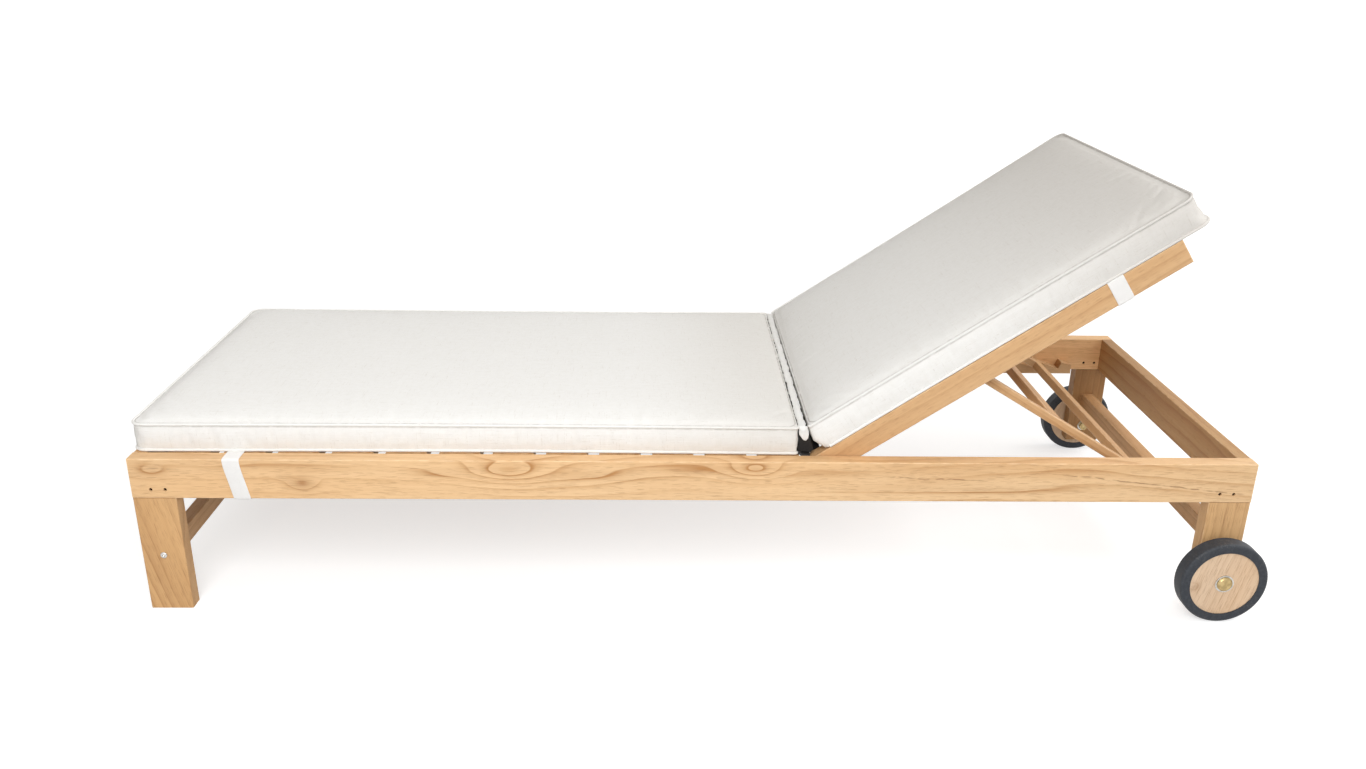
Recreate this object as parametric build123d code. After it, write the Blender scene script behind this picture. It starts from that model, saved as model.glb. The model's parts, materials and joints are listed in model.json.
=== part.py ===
"""Wooden sun lounger: a rail frame on two legs and two wheels, with a reclining back.

Millimetres. +X runs from the foot end to the head end, +Z is up and -Y is the near side.
The origin is on the floor under the middle of the lounger.
"""
from build123d import *
import math
import os

# Frame
frame_length = 2000.0
frame_width = 730.0
seat_height = 300.0
rail_height = 76.0
rail_thickness = 30.0
end_rail_thickness = 24.0
edge_radius = 2.0

# Legs, their tenons and the pins through them
leg_width = 76.0
leg_thickness = 30.0
wheel_leg_lift = 42.0
tenon_thickness = 10.0
tenon_shoulder = 8.0
tenon_height = 34.0
mortise_gap = 0.15
leg_pin_radius = 3.0
leg_pin_recess = 3.0
leg_pin_shares = (0.45, 0.78)

# Stretchers, their bolts and barrel nuts
stretcher_width = 27.0
stretcher_height = 35.0
foot_stretcher_level = 110.0
wheel_stretcher_level = 143.5
bolt_radius = 3.0
bolt_reach = 40.0
bolt_head_radius = 6.2
bolt_head_height = 2.6
barrel_radius = 5.0
barrel_length = 20.0
barrel_depth = 30.0

# Seat slats
slat_count = 12
slat_pitch_share = 0.7785
slat_thickness = 18.0
slat_end_gap = 3.0
slat_edge_radius = 3.0
first_slat_gap = 38.0
cleat_width = 25.0
cleat_height = 20.0
bearer_width = 30.0
bearer_height = 40.0
bearer_pivot_gap = 40.0
screw_radius = 2.2
screw_head_radius = 4.0
screw_head_height = 2.4
screw_grip = 12.0

# Backrest, measured along its length from the pivot
back_angle = 34.0
pivot_share = 0.6108
back_head_gap = 32.0
stile_height = 46.0
stile_thickness = 28.0
stile_side_gap = 3.0
back_rail_width = 30.0
lower_rail_width = 24.0
lower_rail_start = 30.0
back_slat_count = 7
back_slat_pitch_share = 0.8097
back_slat_gap = 8.0
back_cleat_width = 18.0
back_cleat_height = 18.0
pivot_radius = 5.0
pivot_depth = 20.0
pivot_nut_radius = 9.0
pivot_nut_height = 5.0

# Prop frame under the backrest
prop_pivot_share = 0.4341
prop_pivot_drop = 4.0
prop_stock_height = 16.0
prop_arm_thickness = 16.0
prop_arm_gap = 3.0
prop_bar_width = 28.0
prop_cross_share = 0.5218
prop_pin_radius = 3.5
prop_pin_grip = 10.0
prop_pin_head_radius = 7.0
prop_pin_head_height = 4.0

# Ratchets on the side rails
ratchet_thickness = 28.0
ratchet_pitch = 52.5
ratchet_notches = 4
notches_past_rest = 1
notch_share = 0.091
notch_root_height = 12.0
notch_rest_gap = 3.0
ratchet_riser_lean = 22.0
ratchet_head_tail = 24.0
ratchet_head_drop = 7.0
ratchet_foot_tail = 12.0
strap_travel_gap = 0.7

# Wheels and axles
wheel_radius = 80.0
wheel_width = 32.0
tyre_depth = 17.0
tyre_edge_radius = 5.0
wheel_from_head = 40.0
wheel_leg_gap = 9.0
disc_recess = 2.0
axle_radius = 5.0
axle_cap_radius = 14.0
axle_cap_height = 4.5
axle_cap_edge = 2.0
hub_washer_radius = 16.8
washer_thickness = 1.6
spacer_radius = 12.0
axle_nut_radius = 9.5
axle_nut_height = 8.0

# Pads and the straps that hold them
cushion_side_inset = 38.0
cushion_foot_inset = 3.0
cushion_hinge_setback = 43.1
cushion_thickness = 60.0
cushion_crown = 7.0
cushion_belly = 4.0
cushion_draw = 4.0
cushion_end_round = 7.0
cushion_station_shares = (0.0, 0.2, 0.4, 0.6, 0.8, 1.0)
back_cushion_start = 30.0
back_cushion_overhang = 44.6
strap_width = 31.0
strap_thickness = 1.5
strap_return = 16.0
seat_strap_share = 0.0935
back_strap_share = 0.8264

# Clearances
soft_gap = 0.3
running_gap = 0.05
hole_gap = 0.05
side_play = 0.3

# Worked out from the values above
overhang = max(0.0, wheel_radius - wheel_from_head)
foot_x = -(frame_length + overhang) / 2
head_x = foot_x + frame_length
half_width = frame_width / 2
rail_inner = half_width - rail_thickness
leg_inner = half_width - leg_thickness
rail_bottom = seat_height - rail_height
pivot_from_foot = frame_length * pivot_share
pivot_x = foot_x + pivot_from_foot
pivot_z = seat_height - stile_height / 2
stile_outer = rail_inner - stile_side_gap
stile_inner = stile_outer - stile_thickness
stile_length = frame_length - pivot_from_foot - end_rail_thickness - back_head_gap
prop_pivot_along = stile_length * prop_pivot_share
notch_x = head_x - frame_length * notch_share
axle_x = head_x - wheel_from_head
ratchet_inner = rail_inner - ratchet_thickness
cushion_half = half_width - cushion_side_inset
back_cushion_length = stile_length + back_cushion_overhang - back_cushion_start
slat_half = rail_inner - slat_end_gap
bearer_end = pivot_x - bearer_pivot_gap
seat_slat_first = foot_x + end_rail_thickness + first_slat_gap
seat_slat_pitch = (bearer_end - seat_slat_first) / (slat_count - 1 + slat_pitch_share)
seat_slat_width = seat_slat_pitch * slat_pitch_share
back_slat_first = lower_rail_start + lower_rail_width + back_slat_gap
back_slat_run = stile_length - back_rail_width - back_slat_gap - back_slat_first
back_slat_pitch = back_slat_run / (back_slat_count - 1 + back_slat_pitch_share)
back_slat_width = back_slat_pitch * back_slat_pitch_share
sides = {"near": -1, "far": 1}

tilt = math.radians(back_angle)
back_frame = Plane(
    origin=(pivot_x, 0, pivot_z),
    x_dir=(math.cos(tilt), 0, math.sin(tilt)),
    z_dir=(-math.sin(tilt), 0, math.cos(tilt)),
).location


def block(x, y, z):
    """Box between the two values given for each axis, in either order."""
    low = [min(pair) for pair in (x, y, z)]
    size = [abs(pair[1] - pair[0]) for pair in (x, y, z)]
    return Pos(*low) * Box(*size, align=(Align.MIN, Align.MIN, Align.MIN))


def mirrored(side, inner, outer):
    """Pair of Y values on one side of the lounger."""
    return (side * inner, side * outer)


def rod(x, y, z, radius):
    """Cylinder along Y between the two Y values."""
    middle = (y[0] + y[1]) / 2
    return Pos(x, middle, z) * Rot(90, 0, 0) * Cylinder(radius, abs(y[1] - y[0]))


def hexagon(x, y, z, radius):
    """Hexagonal prism along Y between the two Y values."""
    height = abs(y[1] - y[0])
    prism = extrude(RegularPolygon(radius, 6), height)
    return Pos(x, max(y), z) * Rot(90, 0, 0) * prism


def softened(solid, axis, radius):
    """Solid with the edges along one axis rounded."""
    return fillet(solid.edges().filter_by(axis), radius)


def write(name, shape):
    """One file for each named piece."""
    export_step(shape, os.path.join("parts", name + ".step"))


# Legs and rails


def leg_pin_places(leg):
    """X and Z of the two pins through one leg's tenon."""
    level = rail_bottom + tenon_height / 2
    shares = leg_pin_shares
    if leg["head"]:
        shares = [1 - share for share in shares]
    return [(leg["x"] + share * leg_width, level) for share in shares]


def leg_list():
    """Place of each of the four legs."""
    legs = []
    for side_name, side in sides.items():
        foot = {"name": side_name + "_foot_leg", "side": side, "head": False}
        foot["x"], foot["bottom"] = foot_x, 0.0
        wheel = {"name": side_name + "_wheel_leg", "side": side, "head": True}
        wheel["x"], wheel["bottom"] = head_x - leg_width, wheel_leg_lift
        legs += [foot, wheel]
    return legs


def tenon(leg, gap):
    """Tongue of a leg that stands in its rail, grown by a gap for the mortise."""
    middle = half_width - leg_thickness / 2
    half = tenon_thickness / 2 + gap
    x = (leg["x"] + tenon_shoulder - gap, leg["x"] + leg_width - tenon_shoulder + gap)
    y = mirrored(leg["side"], middle - half, middle + half)
    return block(x, y, (rail_bottom, rail_bottom + tenon_height + gap))


def leg_bolt_place(leg):
    """X and Z of the bolt that holds the stretcher to a leg."""
    level = wheel_stretcher_level if leg["head"] else foot_stretcher_level
    return leg["x"] + leg_width / 2, level


def leg_solid(leg):
    """Square leg with its tenon, pin holes and bolt hole."""
    x = (leg["x"], leg["x"] + leg_width)
    y = mirrored(leg["side"], leg_inner, half_width)
    post = softened(block(x, y, (leg["bottom"], rail_bottom)), Axis.Z, edge_radius)
    post += tenon(leg, 0)
    for pin_x, pin_z in leg_pin_places(leg):
        post -= rod(pin_x, y, pin_z, leg_pin_radius + hole_gap)
    bolt_x, bolt_z = leg_bolt_place(leg)
    post -= rod(bolt_x, y, bolt_z, bolt_radius + hole_gap)
    if leg["head"]:
        post -= rod(axle_x, y, wheel_radius, axle_radius + hole_gap)
    return post


def side_rail(side, legs):
    """Long rail with mortises, pin holes and the blind hole of the back's pivot."""
    y = mirrored(side, rail_inner, half_width)
    rail = block((foot_x, head_x), y, (rail_bottom, seat_height))
    rail = softened(rail, Axis.X, edge_radius)
    for leg in legs:
        if leg["side"] == side:
            rail -= tenon(leg, mortise_gap)
            for pin_x, pin_z in leg_pin_places(leg):
                rail -= rod(pin_x, y, pin_z, leg_pin_radius + hole_gap)
    bore = mirrored(side, rail_inner, rail_inner + pivot_depth)
    return rail - rod(pivot_x, bore, pivot_z, pivot_radius + hole_gap)


def end_rail(start):
    """Cross rail between the side rails."""
    x = (start, start + end_rail_thickness)
    rail = block(x, (-rail_inner, rail_inner), (rail_bottom, seat_height))
    return softened(rail, Axis.Y, edge_radius)


def leg_pins(legs):
    """Pins through the rails and tenons, sunk below both faces."""
    pins = []
    for leg in legs:
        ends = (rail_inner + leg_pin_recess, half_width - leg_pin_recess)
        y = mirrored(leg["side"], *ends)
        pins += [rod(x, y, z, leg_pin_radius) for x, z in leg_pin_places(leg)]
    return Compound(children=pins)


# Stretchers


def barrel_nut(leg, gap):
    """Upright round nut inside the stretcher's end, grown by a gap for its hole."""
    x, z = leg_bolt_place(leg)
    y = leg["side"] * (leg_inner - barrel_depth)
    return Pos(x, y, z) * Cylinder(barrel_radius + gap, barrel_length + 2 * gap)


def bolt_shank(leg, gap):
    """Shank of a stretcher bolt, grown by a gap for its hole."""
    x, z = leg_bolt_place(leg)
    ends = (leg_inner - bolt_reach - gap, half_width)
    return rod(x, mirrored(leg["side"], *ends), z, bolt_radius + gap)


def stretcher(legs):
    """Cross bar between a pair of legs, bored for its bolts and nuts."""
    x, z = leg_bolt_place(legs[0])
    bar = block(
        (x - stretcher_width / 2, x + stretcher_width / 2),
        (-leg_inner, leg_inner),
        (z - stretcher_height / 2, z + stretcher_height / 2),
    )
    bar = softened(bar, Axis.Y, edge_radius)
    for leg in legs:
        bar -= bolt_shank(leg, hole_gap) + barrel_nut(leg, hole_gap)
    return bar


def stretcher_bolts(legs):
    """Round-headed bolts through the legs into the stretchers."""
    bolts = []
    for leg in legs:
        x, z = leg_bolt_place(leg)
        head = mirrored(leg["side"], half_width, half_width + bolt_head_height)
        bolts.append(bolt_shank(leg, 0) + rod(x, head, z, bolt_head_radius))
    return Compound(children=bolts)


def stretcher_nuts(legs):
    """Barrel nuts, each threaded on its bolt."""
    nuts = [barrel_nut(leg, 0) - bolt_shank(leg, hole_gap) for leg in legs]
    return Compound(children=nuts)


# Seat


def seat_slat_starts():
    """Foot-side face of each seat slat."""
    return [seat_slat_first + index * seat_slat_pitch for index in range(slat_count)]


def screw(x, y, top, gap):
    """Countersunk screw down into a cleat, grown by a gap for its hole."""
    reach = slat_thickness + screw_grip + gap
    shank = Pos(x, y, top - reach / 2) * Cylinder(screw_radius + gap, reach)
    middle = top - screw_head_height / 2
    cone = Cone(screw_radius + gap, screw_head_radius + gap, screw_head_height)
    return shank + Pos(x, y, middle) * cone


def seat_screw_places():
    """X and Y of the screw at each end of each seat slat."""
    y = rail_inner - cleat_width / 2
    middles = [start + seat_slat_width / 2 for start in seat_slat_starts()]
    ends = [middle for middle in middles if middle < bearer_end - bearer_width]
    return [(x, side * y) for x in ends for side in sides.values()]


def seat_slat(start):
    """One seat slat with its screw holes."""
    x = (start, start + seat_slat_width)
    z = (seat_height - slat_thickness, seat_height)
    slat = softened(block(x, (-slat_half, slat_half), z), Axis.Y, slat_edge_radius)
    for screw_x, screw_y in seat_screw_places():
        if start < screw_x < start + seat_slat_width:
            slat -= screw(screw_x, screw_y, seat_height, hole_gap)
    return slat


def seat_cleats():
    """Strip along each side rail that carries the slats."""
    cleats = []
    top = seat_height - slat_thickness
    ends = (foot_x + end_rail_thickness, bearer_end - bearer_width)
    for side in sides.values():
        y = mirrored(side, rail_inner - cleat_width, rail_inner)
        cleat = block(ends, y, (top - cleat_height, top))
        for screw_x, screw_y in seat_screw_places():
            if screw_y * side > 0:
                cleat -= screw(screw_x, screw_y, seat_height, hole_gap)
        cleats.append(cleat)
    return Compound(children=cleats)


def hinge_bearer():
    """Cross bearer that ends the seat, under the last slat."""
    x = (bearer_end - bearer_width, bearer_end)
    top = seat_height - slat_thickness
    y = (-rail_inner, rail_inner)
    return softened(block(x, y, (top - bearer_height, top)), Axis.Y, edge_radius)


def seat_screws():
    """Screws of the seat slats."""
    places = seat_screw_places()
    return Compound(children=[screw(x, y, seat_height, 0) for x, y in places])


# Ratchets


def ratchet_top():
    """Height of the teeth, which clears the strap under the lowered stile."""
    stile_bottom = pivot_z - stile_height / 2
    return stile_bottom - soft_gap - strap_thickness - strap_travel_gap


def ratchet_outline():
    """Sawtooth outline in X and Z, from the head end to the foot end."""
    top, root = ratchet_top(), rail_bottom + notch_root_height
    lean = (top - root) * math.tan(math.radians(ratchet_riser_lean))
    first = notch_x + notches_past_rest * ratchet_pitch
    last = first - ratchet_notches * ratchet_pitch + lean
    points = [(last - ratchet_foot_tail, rail_bottom)]
    points.append((first + lean + ratchet_head_tail, rail_bottom))
    points.append((first + lean + ratchet_head_tail, top - ratchet_head_drop))
    for index in range(ratchet_notches):
        x = first - index * ratchet_pitch
        points += [(x + lean, top), (x, root)]
    points += [(last, top), (last - ratchet_foot_tail, top)]
    return points


def ratchet(side):
    """Toothed strip on the inner face of a side rail."""
    points = [(x, 0, z) for x, z in ratchet_outline()]
    face = make_face(Polyline(*points, close=True))
    strip = extrude(face, ratchet_thickness, dir=(0, side, 0))
    return Pos(0, side * ratchet_inner, 0) * strip


# Backrest, built along its own X and Z and then tilted


def back_slat_starts():
    """Pivot-side edge of each back slat."""
    return [back_slat_first + index * back_slat_pitch for index in range(back_slat_count)]


def back_screw_places():
    """Place of the screw at each end of each back slat."""
    y = stile_inner - back_cleat_width / 2
    middles = [start + back_slat_width / 2 for start in back_slat_starts()]
    return [(x, side * y) for x in middles for side in sides.values()]


def stile(side):
    """Long side of the backrest, round at the pivot end."""
    y = mirrored(side, stile_inner, stile_outer)
    half = stile_height / 2
    bar = softened(block((0, stile_length), y, (-half, half)), Axis.X, edge_radius)
    bar += rod(0, y, 0, half)
    bar -= rod(0, y, 0, pivot_radius + running_gap)
    grip = mirrored(side, stile_inner, stile_inner + prop_pin_grip)
    return bar - rod(prop_pivot_along, grip, -prop_pivot_drop, prop_pin_radius + hole_gap)


def back_rail(start, width):
    """Cross rail between the stiles."""
    half = stile_height / 2
    rail = block((start, start + width), (-stile_inner, stile_inner), (-half, half))
    return softened(rail, Axis.Y, edge_radius)


def back_slat(start):
    """One back slat with its screw holes."""
    top = stile_height / 2
    end = stile_inner - slat_end_gap
    x = (start, start + back_slat_width)
    box = block(x, (-end, end), (top - slat_thickness, top))
    slat = softened(box, Axis.Y, slat_edge_radius)
    for screw_x, screw_y in back_screw_places():
        if start < screw_x < start + back_slat_width:
            slat -= screw(screw_x, screw_y, top, hole_gap)
    return slat


def back_cleats():
    """Strip along each stile that carries the back slats."""
    cleats = []
    top = stile_height / 2
    high = top - slat_thickness
    ends = (lower_rail_start + lower_rail_width, stile_length - back_rail_width)
    for side in sides.values():
        y = mirrored(side, stile_inner - back_cleat_width, stile_inner)
        cleat = block(ends, y, (high - back_cleat_height, high))
        cleat -= rod(prop_pivot_along, y, -prop_pivot_drop, prop_pin_radius + hole_gap)
        for screw_x, screw_y in back_screw_places():
            if screw_y * side > 0:
                cleat -= screw(screw_x, screw_y, top, hole_gap)
        cleats.append(cleat)
    return Compound(children=cleats)


def back_screws():
    """Screws of the back slats."""
    top = stile_height / 2
    screws = [screw(x, y, top, 0) for x, y in back_screw_places()]
    return Compound(children=screws)


def backrest_pivots():
    """Pins from the side rails into the stiles, each with a collar and a nut."""
    pins = []
    for side in sides.values():
        shaft = mirrored(side, stile_inner - side_play, rail_inner + pivot_depth)
        collar = mirrored(side, stile_outer + side_play, rail_inner)
        tail = stile_inner - side_play
        nut = mirrored(side, tail - pivot_nut_height, tail)
        pin = rod(pivot_x, shaft, pivot_z, pivot_radius)
        pin += rod(pivot_x, collar, pivot_z, pivot_nut_radius)
        pins.append(pin + rod(pivot_x, nut, pivot_z, pivot_nut_radius))
    return Compound(children=pins)


# Prop frame, built along its own X and then swung down to the notch


def prop_geometry():
    """Swing angle of the prop in radians, and the distance to its foot bar."""
    local = Vector(prop_pivot_along, 0, -prop_pivot_drop)
    pivot = (back_frame * Location(local)).position
    notch_z = rail_bottom + notch_root_height + notch_rest_gap
    reach = math.hypot(notch_x - pivot.X, pivot.Z - notch_z)
    half_height = prop_stock_height / 2
    corner = math.sqrt(reach**2 - half_height**2)
    slope = math.atan2(pivot.Z - notch_z, notch_x - pivot.X)
    slope -= math.atan2(half_height, corner)
    return pivot, slope, corner - prop_bar_width / 2


prop_pivot, prop_slope, prop_length = prop_geometry()
prop_frame = Plane(
    origin=prop_pivot,
    x_dir=(math.cos(prop_slope), 0, -math.sin(prop_slope)),
    z_dir=(math.sin(prop_slope), 0, math.cos(prop_slope)),
).location
arm_outer = stile_inner - back_cleat_width - prop_arm_gap
arm_inner = arm_outer - prop_arm_thickness


def prop_arm(side):
    """Arm from the pin on the stile down to the foot bar."""
    y = mirrored(side, arm_inner, arm_outer)
    half = prop_stock_height / 2
    end = prop_length - prop_bar_width / 2
    arm = softened(block((0, end), y, (-half, half)), Axis.X, edge_radius)
    arm += rod(0, y, 0, half)
    return arm - rod(0, y, 0, prop_pin_radius + running_gap)


def prop_bar(middle, half_length):
    """Cross bar of the prop frame."""
    x = (middle - prop_bar_width / 2, middle + prop_bar_width / 2)
    half = prop_stock_height / 2
    bar = block(x, (-half_length, half_length), (-half, half))
    return softened(bar, Axis.Y, edge_radius)


def prop_pins():
    """Pins that carry the prop frame under the backrest."""
    pins = []
    for side in sides.values():
        tail = arm_inner - side_play
        shaft = mirrored(side, tail, stile_inner + prop_pin_grip)
        collar = mirrored(side, arm_outer + side_play, arm_outer + prop_arm_gap)
        head = mirrored(side, tail - prop_pin_head_height, tail)
        place = (prop_pivot_along, -prop_pivot_drop)
        pin = rod(place[0], shaft, place[1], prop_pin_radius)
        pin += rod(place[0], collar, place[1], prop_pin_head_radius)
        pins.append(pin + rod(place[0], head, place[1], prop_pin_head_radius))
    return Compound(children=pins)


# Wheels


wheel_inner = half_width + wheel_leg_gap
wheel_outer = wheel_inner + wheel_width
disc_outer = wheel_outer - disc_recess


def tyre(side):
    """Rubber ring around the wooden disc."""
    y = mirrored(side, wheel_inner, wheel_outer)
    ring = rod(axle_x, y, wheel_radius, wheel_radius)
    ring = fillet(ring.edges().filter_by(GeomType.CIRCLE), tyre_edge_radius)
    return ring - rod(axle_x, y, wheel_radius, wheel_radius - tyre_depth)


def wheel_disc(side):
    """Wooden disc that turns on the axle bolt."""
    y = mirrored(side, wheel_inner, disc_outer)
    disc = rod(axle_x, y, wheel_radius, wheel_radius - tyre_depth)
    return disc - rod(axle_x, y, wheel_radius, axle_radius + running_gap)


def axle_bolt(side):
    """Capped bolt through the wheel and the leg."""
    seat = disc_outer + side_play + washer_thickness
    end = leg_inner - washer_thickness - axle_nut_height
    shank = rod(axle_x, mirrored(side, end, seat), wheel_radius, axle_radius)
    cap_ends = mirrored(side, seat, seat + axle_cap_height)
    cap = rod(axle_x, cap_ends, wheel_radius, axle_cap_radius)
    outer_edge = cap.edges().filter_by(GeomType.CIRCLE).sort_by(Axis.Y)[-1 if side > 0 else 0]
    return shank + fillet(outer_edge, axle_cap_edge)


def axle_bolts():
    """Both axle bolts."""
    return Compound(children=[axle_bolt(side) for side in sides.values()])


def ring_on_axle(side, inner, outer, radius):
    """Washer or spacer on an axle bolt."""
    y = mirrored(side, inner, outer)
    disc = rod(axle_x, y, wheel_radius, radius)
    return disc - rod(axle_x, y, wheel_radius, axle_radius + hole_gap)


def axle_washers():
    """Hub washers, leg washers and the spacers between legs and wheels."""
    rings = []
    for side in sides.values():
        hub = disc_outer + side_play
        rings.append(ring_on_axle(side, hub, hub + washer_thickness, hub_washer_radius))
        rings.append(ring_on_axle(side, half_width, wheel_inner - side_play, spacer_radius))
        nut_face = leg_inner - washer_thickness
        rings.append(ring_on_axle(side, nut_face, leg_inner, spacer_radius))
    return Compound(children=rings)


def axle_nuts():
    """Hexagonal nuts on the inner faces of the wheel legs."""
    nuts = []
    for side in sides.values():
        outer = leg_inner - washer_thickness
        y = mirrored(side, outer - axle_nut_height, outer)
        nut = hexagon(axle_x, y, wheel_radius, axle_nut_radius)
        nuts.append(nut - rod(axle_x, y, wheel_radius, axle_radius + hole_gap))
    return Compound(children=nuts)


# Pads


def pad_section(x, inset, crown, half):
    """Cross section of a pad: flat below, bellied sides and a crowned top."""
    low, high = inset, cushion_thickness - inset
    edge = half - inset
    belly = edge + cushion_belly
    middle = cushion_thickness / 2
    outline = [
        Line((x, -edge, low), (x, edge, low)),
        ThreePointArc((x, edge, low), (x, belly, middle), (x, edge, high)),
        ThreePointArc((x, edge, high), (x, 0, high + crown), (x, -edge, high)),
        ThreePointArc((x, -edge, high), (x, -belly, middle), (x, -edge, low)),
    ]
    return make_face(Wire(outline))


def pad(length):
    """Pad along X from zero, lying on Z zero: crowned, with sides drawn in midway."""
    run = length - 2 * cushion_end_round
    sections = [pad_section(0, cushion_end_round, cushion_crown / 2, cushion_half)]
    for share in cushion_station_shares:
        swell = 4 * share * (1 - share)
        half = cushion_half - cushion_draw * swell
        crown = cushion_crown * (1 + swell) / 2
        sections.append(pad_section(cushion_end_round + share * run, 0, crown, half))
    sections.append(pad_section(length, cushion_end_round, cushion_crown / 2, cushion_half))
    return loft(sections, ruled=True)


def strap(middle, outer, inner, top, bottom, edge, end):
    """Webbing loop on one side: out from the pad, down, under and up behind to its end."""
    x = (middle - strap_width / 2, middle + strap_width / 2)
    skin = strap_thickness
    over = block(x, (edge, outer + skin), (top, top + skin))
    down = block(x, (outer, outer + skin), (bottom - skin, top + skin))
    under = block(x, (inner - skin, outer + skin), (bottom - skin, bottom))
    up = block(x, (inner - skin, inner), (bottom - skin, end))
    return over + down + under + up


def both_sides(solid):
    """A piece and its mirror image across the middle."""
    return Compound(children=[mirror(solid, Plane.XZ), solid])


def seat_straps():
    """Straps from the seat pad around the side rails."""
    outer, inner = half_width + soft_gap, rail_inner - soft_gap
    middle = foot_x + frame_length * seat_strap_share
    edge = cushion_half + soft_gap
    bottom = rail_bottom - soft_gap
    end = bottom + strap_return
    return both_sides(strap(middle, outer, inner, seat_height, bottom, edge, end))


def back_straps():
    """Straps from the back pad around the stiles."""
    outer, inner = stile_outer + soft_gap, stile_inner - soft_gap
    top, bottom = stile_height / 2 + soft_gap, -stile_height / 2 - soft_gap
    edge = cushion_half + soft_gap
    end = stile_height / 2 - slat_thickness - back_cleat_height - soft_gap
    middle = stile_length * back_strap_share
    loop = strap(middle, outer, inner, top, bottom, edge, end)
    return back_frame * both_sides(loop)


def seat_cushion():
    """Pad on the seat slats."""
    start = foot_x + cushion_foot_inset
    length = pivot_x - cushion_hinge_setback - start
    return Pos(start, 0, seat_height) * pad(length)


def back_cushion():
    """Pad on the backrest, which creeps along it as it tilts."""
    place = Pos(back_cushion_start, 0, stile_height / 2 + soft_gap)
    return back_frame * place * pad(back_cushion_length)


# All pieces


def frame_pieces():
    """Everything that stands still."""
    legs = leg_list()
    foot_legs = [leg for leg in legs if not leg["head"]]
    wheel_legs = [leg for leg in legs if leg["head"]]
    for name, side in sides.items():
        write(name + "_side_rail", side_rail(side, legs))
        write(name + "_ratchet", ratchet(side))
    for leg in legs:
        write(leg["name"], leg_solid(leg))
    write("foot_end_rail", end_rail(foot_x))
    write("head_end_rail", end_rail(head_x - end_rail_thickness))
    write("leg_pins", leg_pins(legs))
    write("foot_stretcher", stretcher(foot_legs))
    write("wheel_stretcher", stretcher(wheel_legs))
    write("stretcher_bolts", stretcher_bolts(legs))
    write("stretcher_nuts", stretcher_nuts(legs))
    write("backrest_pivots", backrest_pivots())
    write("axle_bolts", axle_bolts())
    write("axle_washers", axle_washers())
    write("axle_nuts", axle_nuts())


def seat_pieces():
    """Slats, what carries them, and the seat pad."""
    for index, start in enumerate(seat_slat_starts(), 1):
        write(f"seat_slat_{index:02d}", seat_slat(start))
    write("seat_cleats", seat_cleats())
    write("hinge_bearer", hinge_bearer())
    write("seat_screws", seat_screws())
    write("seat_cushion", seat_cushion())
    write("seat_straps", seat_straps())


def back_pieces():
    """Backrest, its pad and the prop frame."""
    for name, side in sides.items():
        write(name + "_stile", back_frame * stile(side))
        write(name + "_prop_arm", prop_frame * prop_arm(side))
    write("back_lower_rail", back_frame * back_rail(lower_rail_start, lower_rail_width))
    upper_start = stile_length - back_rail_width
    write("back_upper_rail", back_frame * back_rail(upper_start, back_rail_width))
    write("back_cleats", back_frame * back_cleats())
    for index, start in enumerate(back_slat_starts(), 1):
        write(f"back_slat_{index:02d}", back_frame * back_slat(start))
    write("back_screws", back_frame * back_screws())
    write("prop_pins", back_frame * prop_pins())
    cross_middle = prop_length * prop_cross_share
    write("prop_cross_bar", prop_frame * prop_bar(cross_middle, arm_inner))
    write("prop_foot_bar", prop_frame * prop_bar(prop_length, ratchet_inner - side_play))
    write("back_cushion", back_cushion())
    write("back_straps", back_straps())


def wheel_pieces():
    """Tyres and discs, which turn."""
    for name, side in sides.items():
        write(name + "_tyre", tyre(side))
        write(name + "_wheel_disc", wheel_disc(side))


os.makedirs("parts", exist_ok=True)
frame_pieces()
seat_pieces()
back_pieces()
wheel_pieces()
print("foot x", round(foot_x, 3), "pivot", round(pivot_x, 3), round(pivot_z, 3))
print("prop pivot", [round(value, 3) for value in prop_pivot])
print("prop slope", round(math.degrees(prop_slope), 3), "length", round(prop_length, 3))
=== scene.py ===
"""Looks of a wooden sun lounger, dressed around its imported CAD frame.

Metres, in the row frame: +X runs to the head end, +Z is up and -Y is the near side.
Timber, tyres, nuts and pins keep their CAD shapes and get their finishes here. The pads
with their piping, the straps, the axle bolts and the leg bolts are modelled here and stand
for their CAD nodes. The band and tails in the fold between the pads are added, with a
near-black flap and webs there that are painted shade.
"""

from __future__ import annotations

import json
import logging
import math
from contextlib import contextmanager
from dataclasses import dataclass
from enum import Enum
from typing import Callable, Iterable, Iterator, Union

import bpy
from mathutils import Matrix, Vector

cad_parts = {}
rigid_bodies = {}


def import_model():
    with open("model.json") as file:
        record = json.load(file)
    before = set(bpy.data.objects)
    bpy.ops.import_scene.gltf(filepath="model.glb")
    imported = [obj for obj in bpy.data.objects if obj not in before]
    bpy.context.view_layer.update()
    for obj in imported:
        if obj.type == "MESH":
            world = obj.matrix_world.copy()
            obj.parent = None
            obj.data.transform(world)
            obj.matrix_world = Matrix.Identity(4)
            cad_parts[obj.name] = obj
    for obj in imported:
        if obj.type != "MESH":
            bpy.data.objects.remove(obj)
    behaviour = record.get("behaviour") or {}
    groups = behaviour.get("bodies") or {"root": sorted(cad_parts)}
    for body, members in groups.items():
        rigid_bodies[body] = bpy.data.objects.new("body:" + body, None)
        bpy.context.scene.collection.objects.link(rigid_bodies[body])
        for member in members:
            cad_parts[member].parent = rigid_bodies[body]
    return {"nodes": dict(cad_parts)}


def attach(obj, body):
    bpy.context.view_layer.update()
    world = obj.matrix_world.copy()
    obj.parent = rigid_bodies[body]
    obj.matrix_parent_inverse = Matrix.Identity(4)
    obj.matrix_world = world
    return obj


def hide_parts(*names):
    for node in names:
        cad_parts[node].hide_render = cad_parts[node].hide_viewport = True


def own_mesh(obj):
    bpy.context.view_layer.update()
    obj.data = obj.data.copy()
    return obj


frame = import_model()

LOG = logging.getLogger("lounger")
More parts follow.
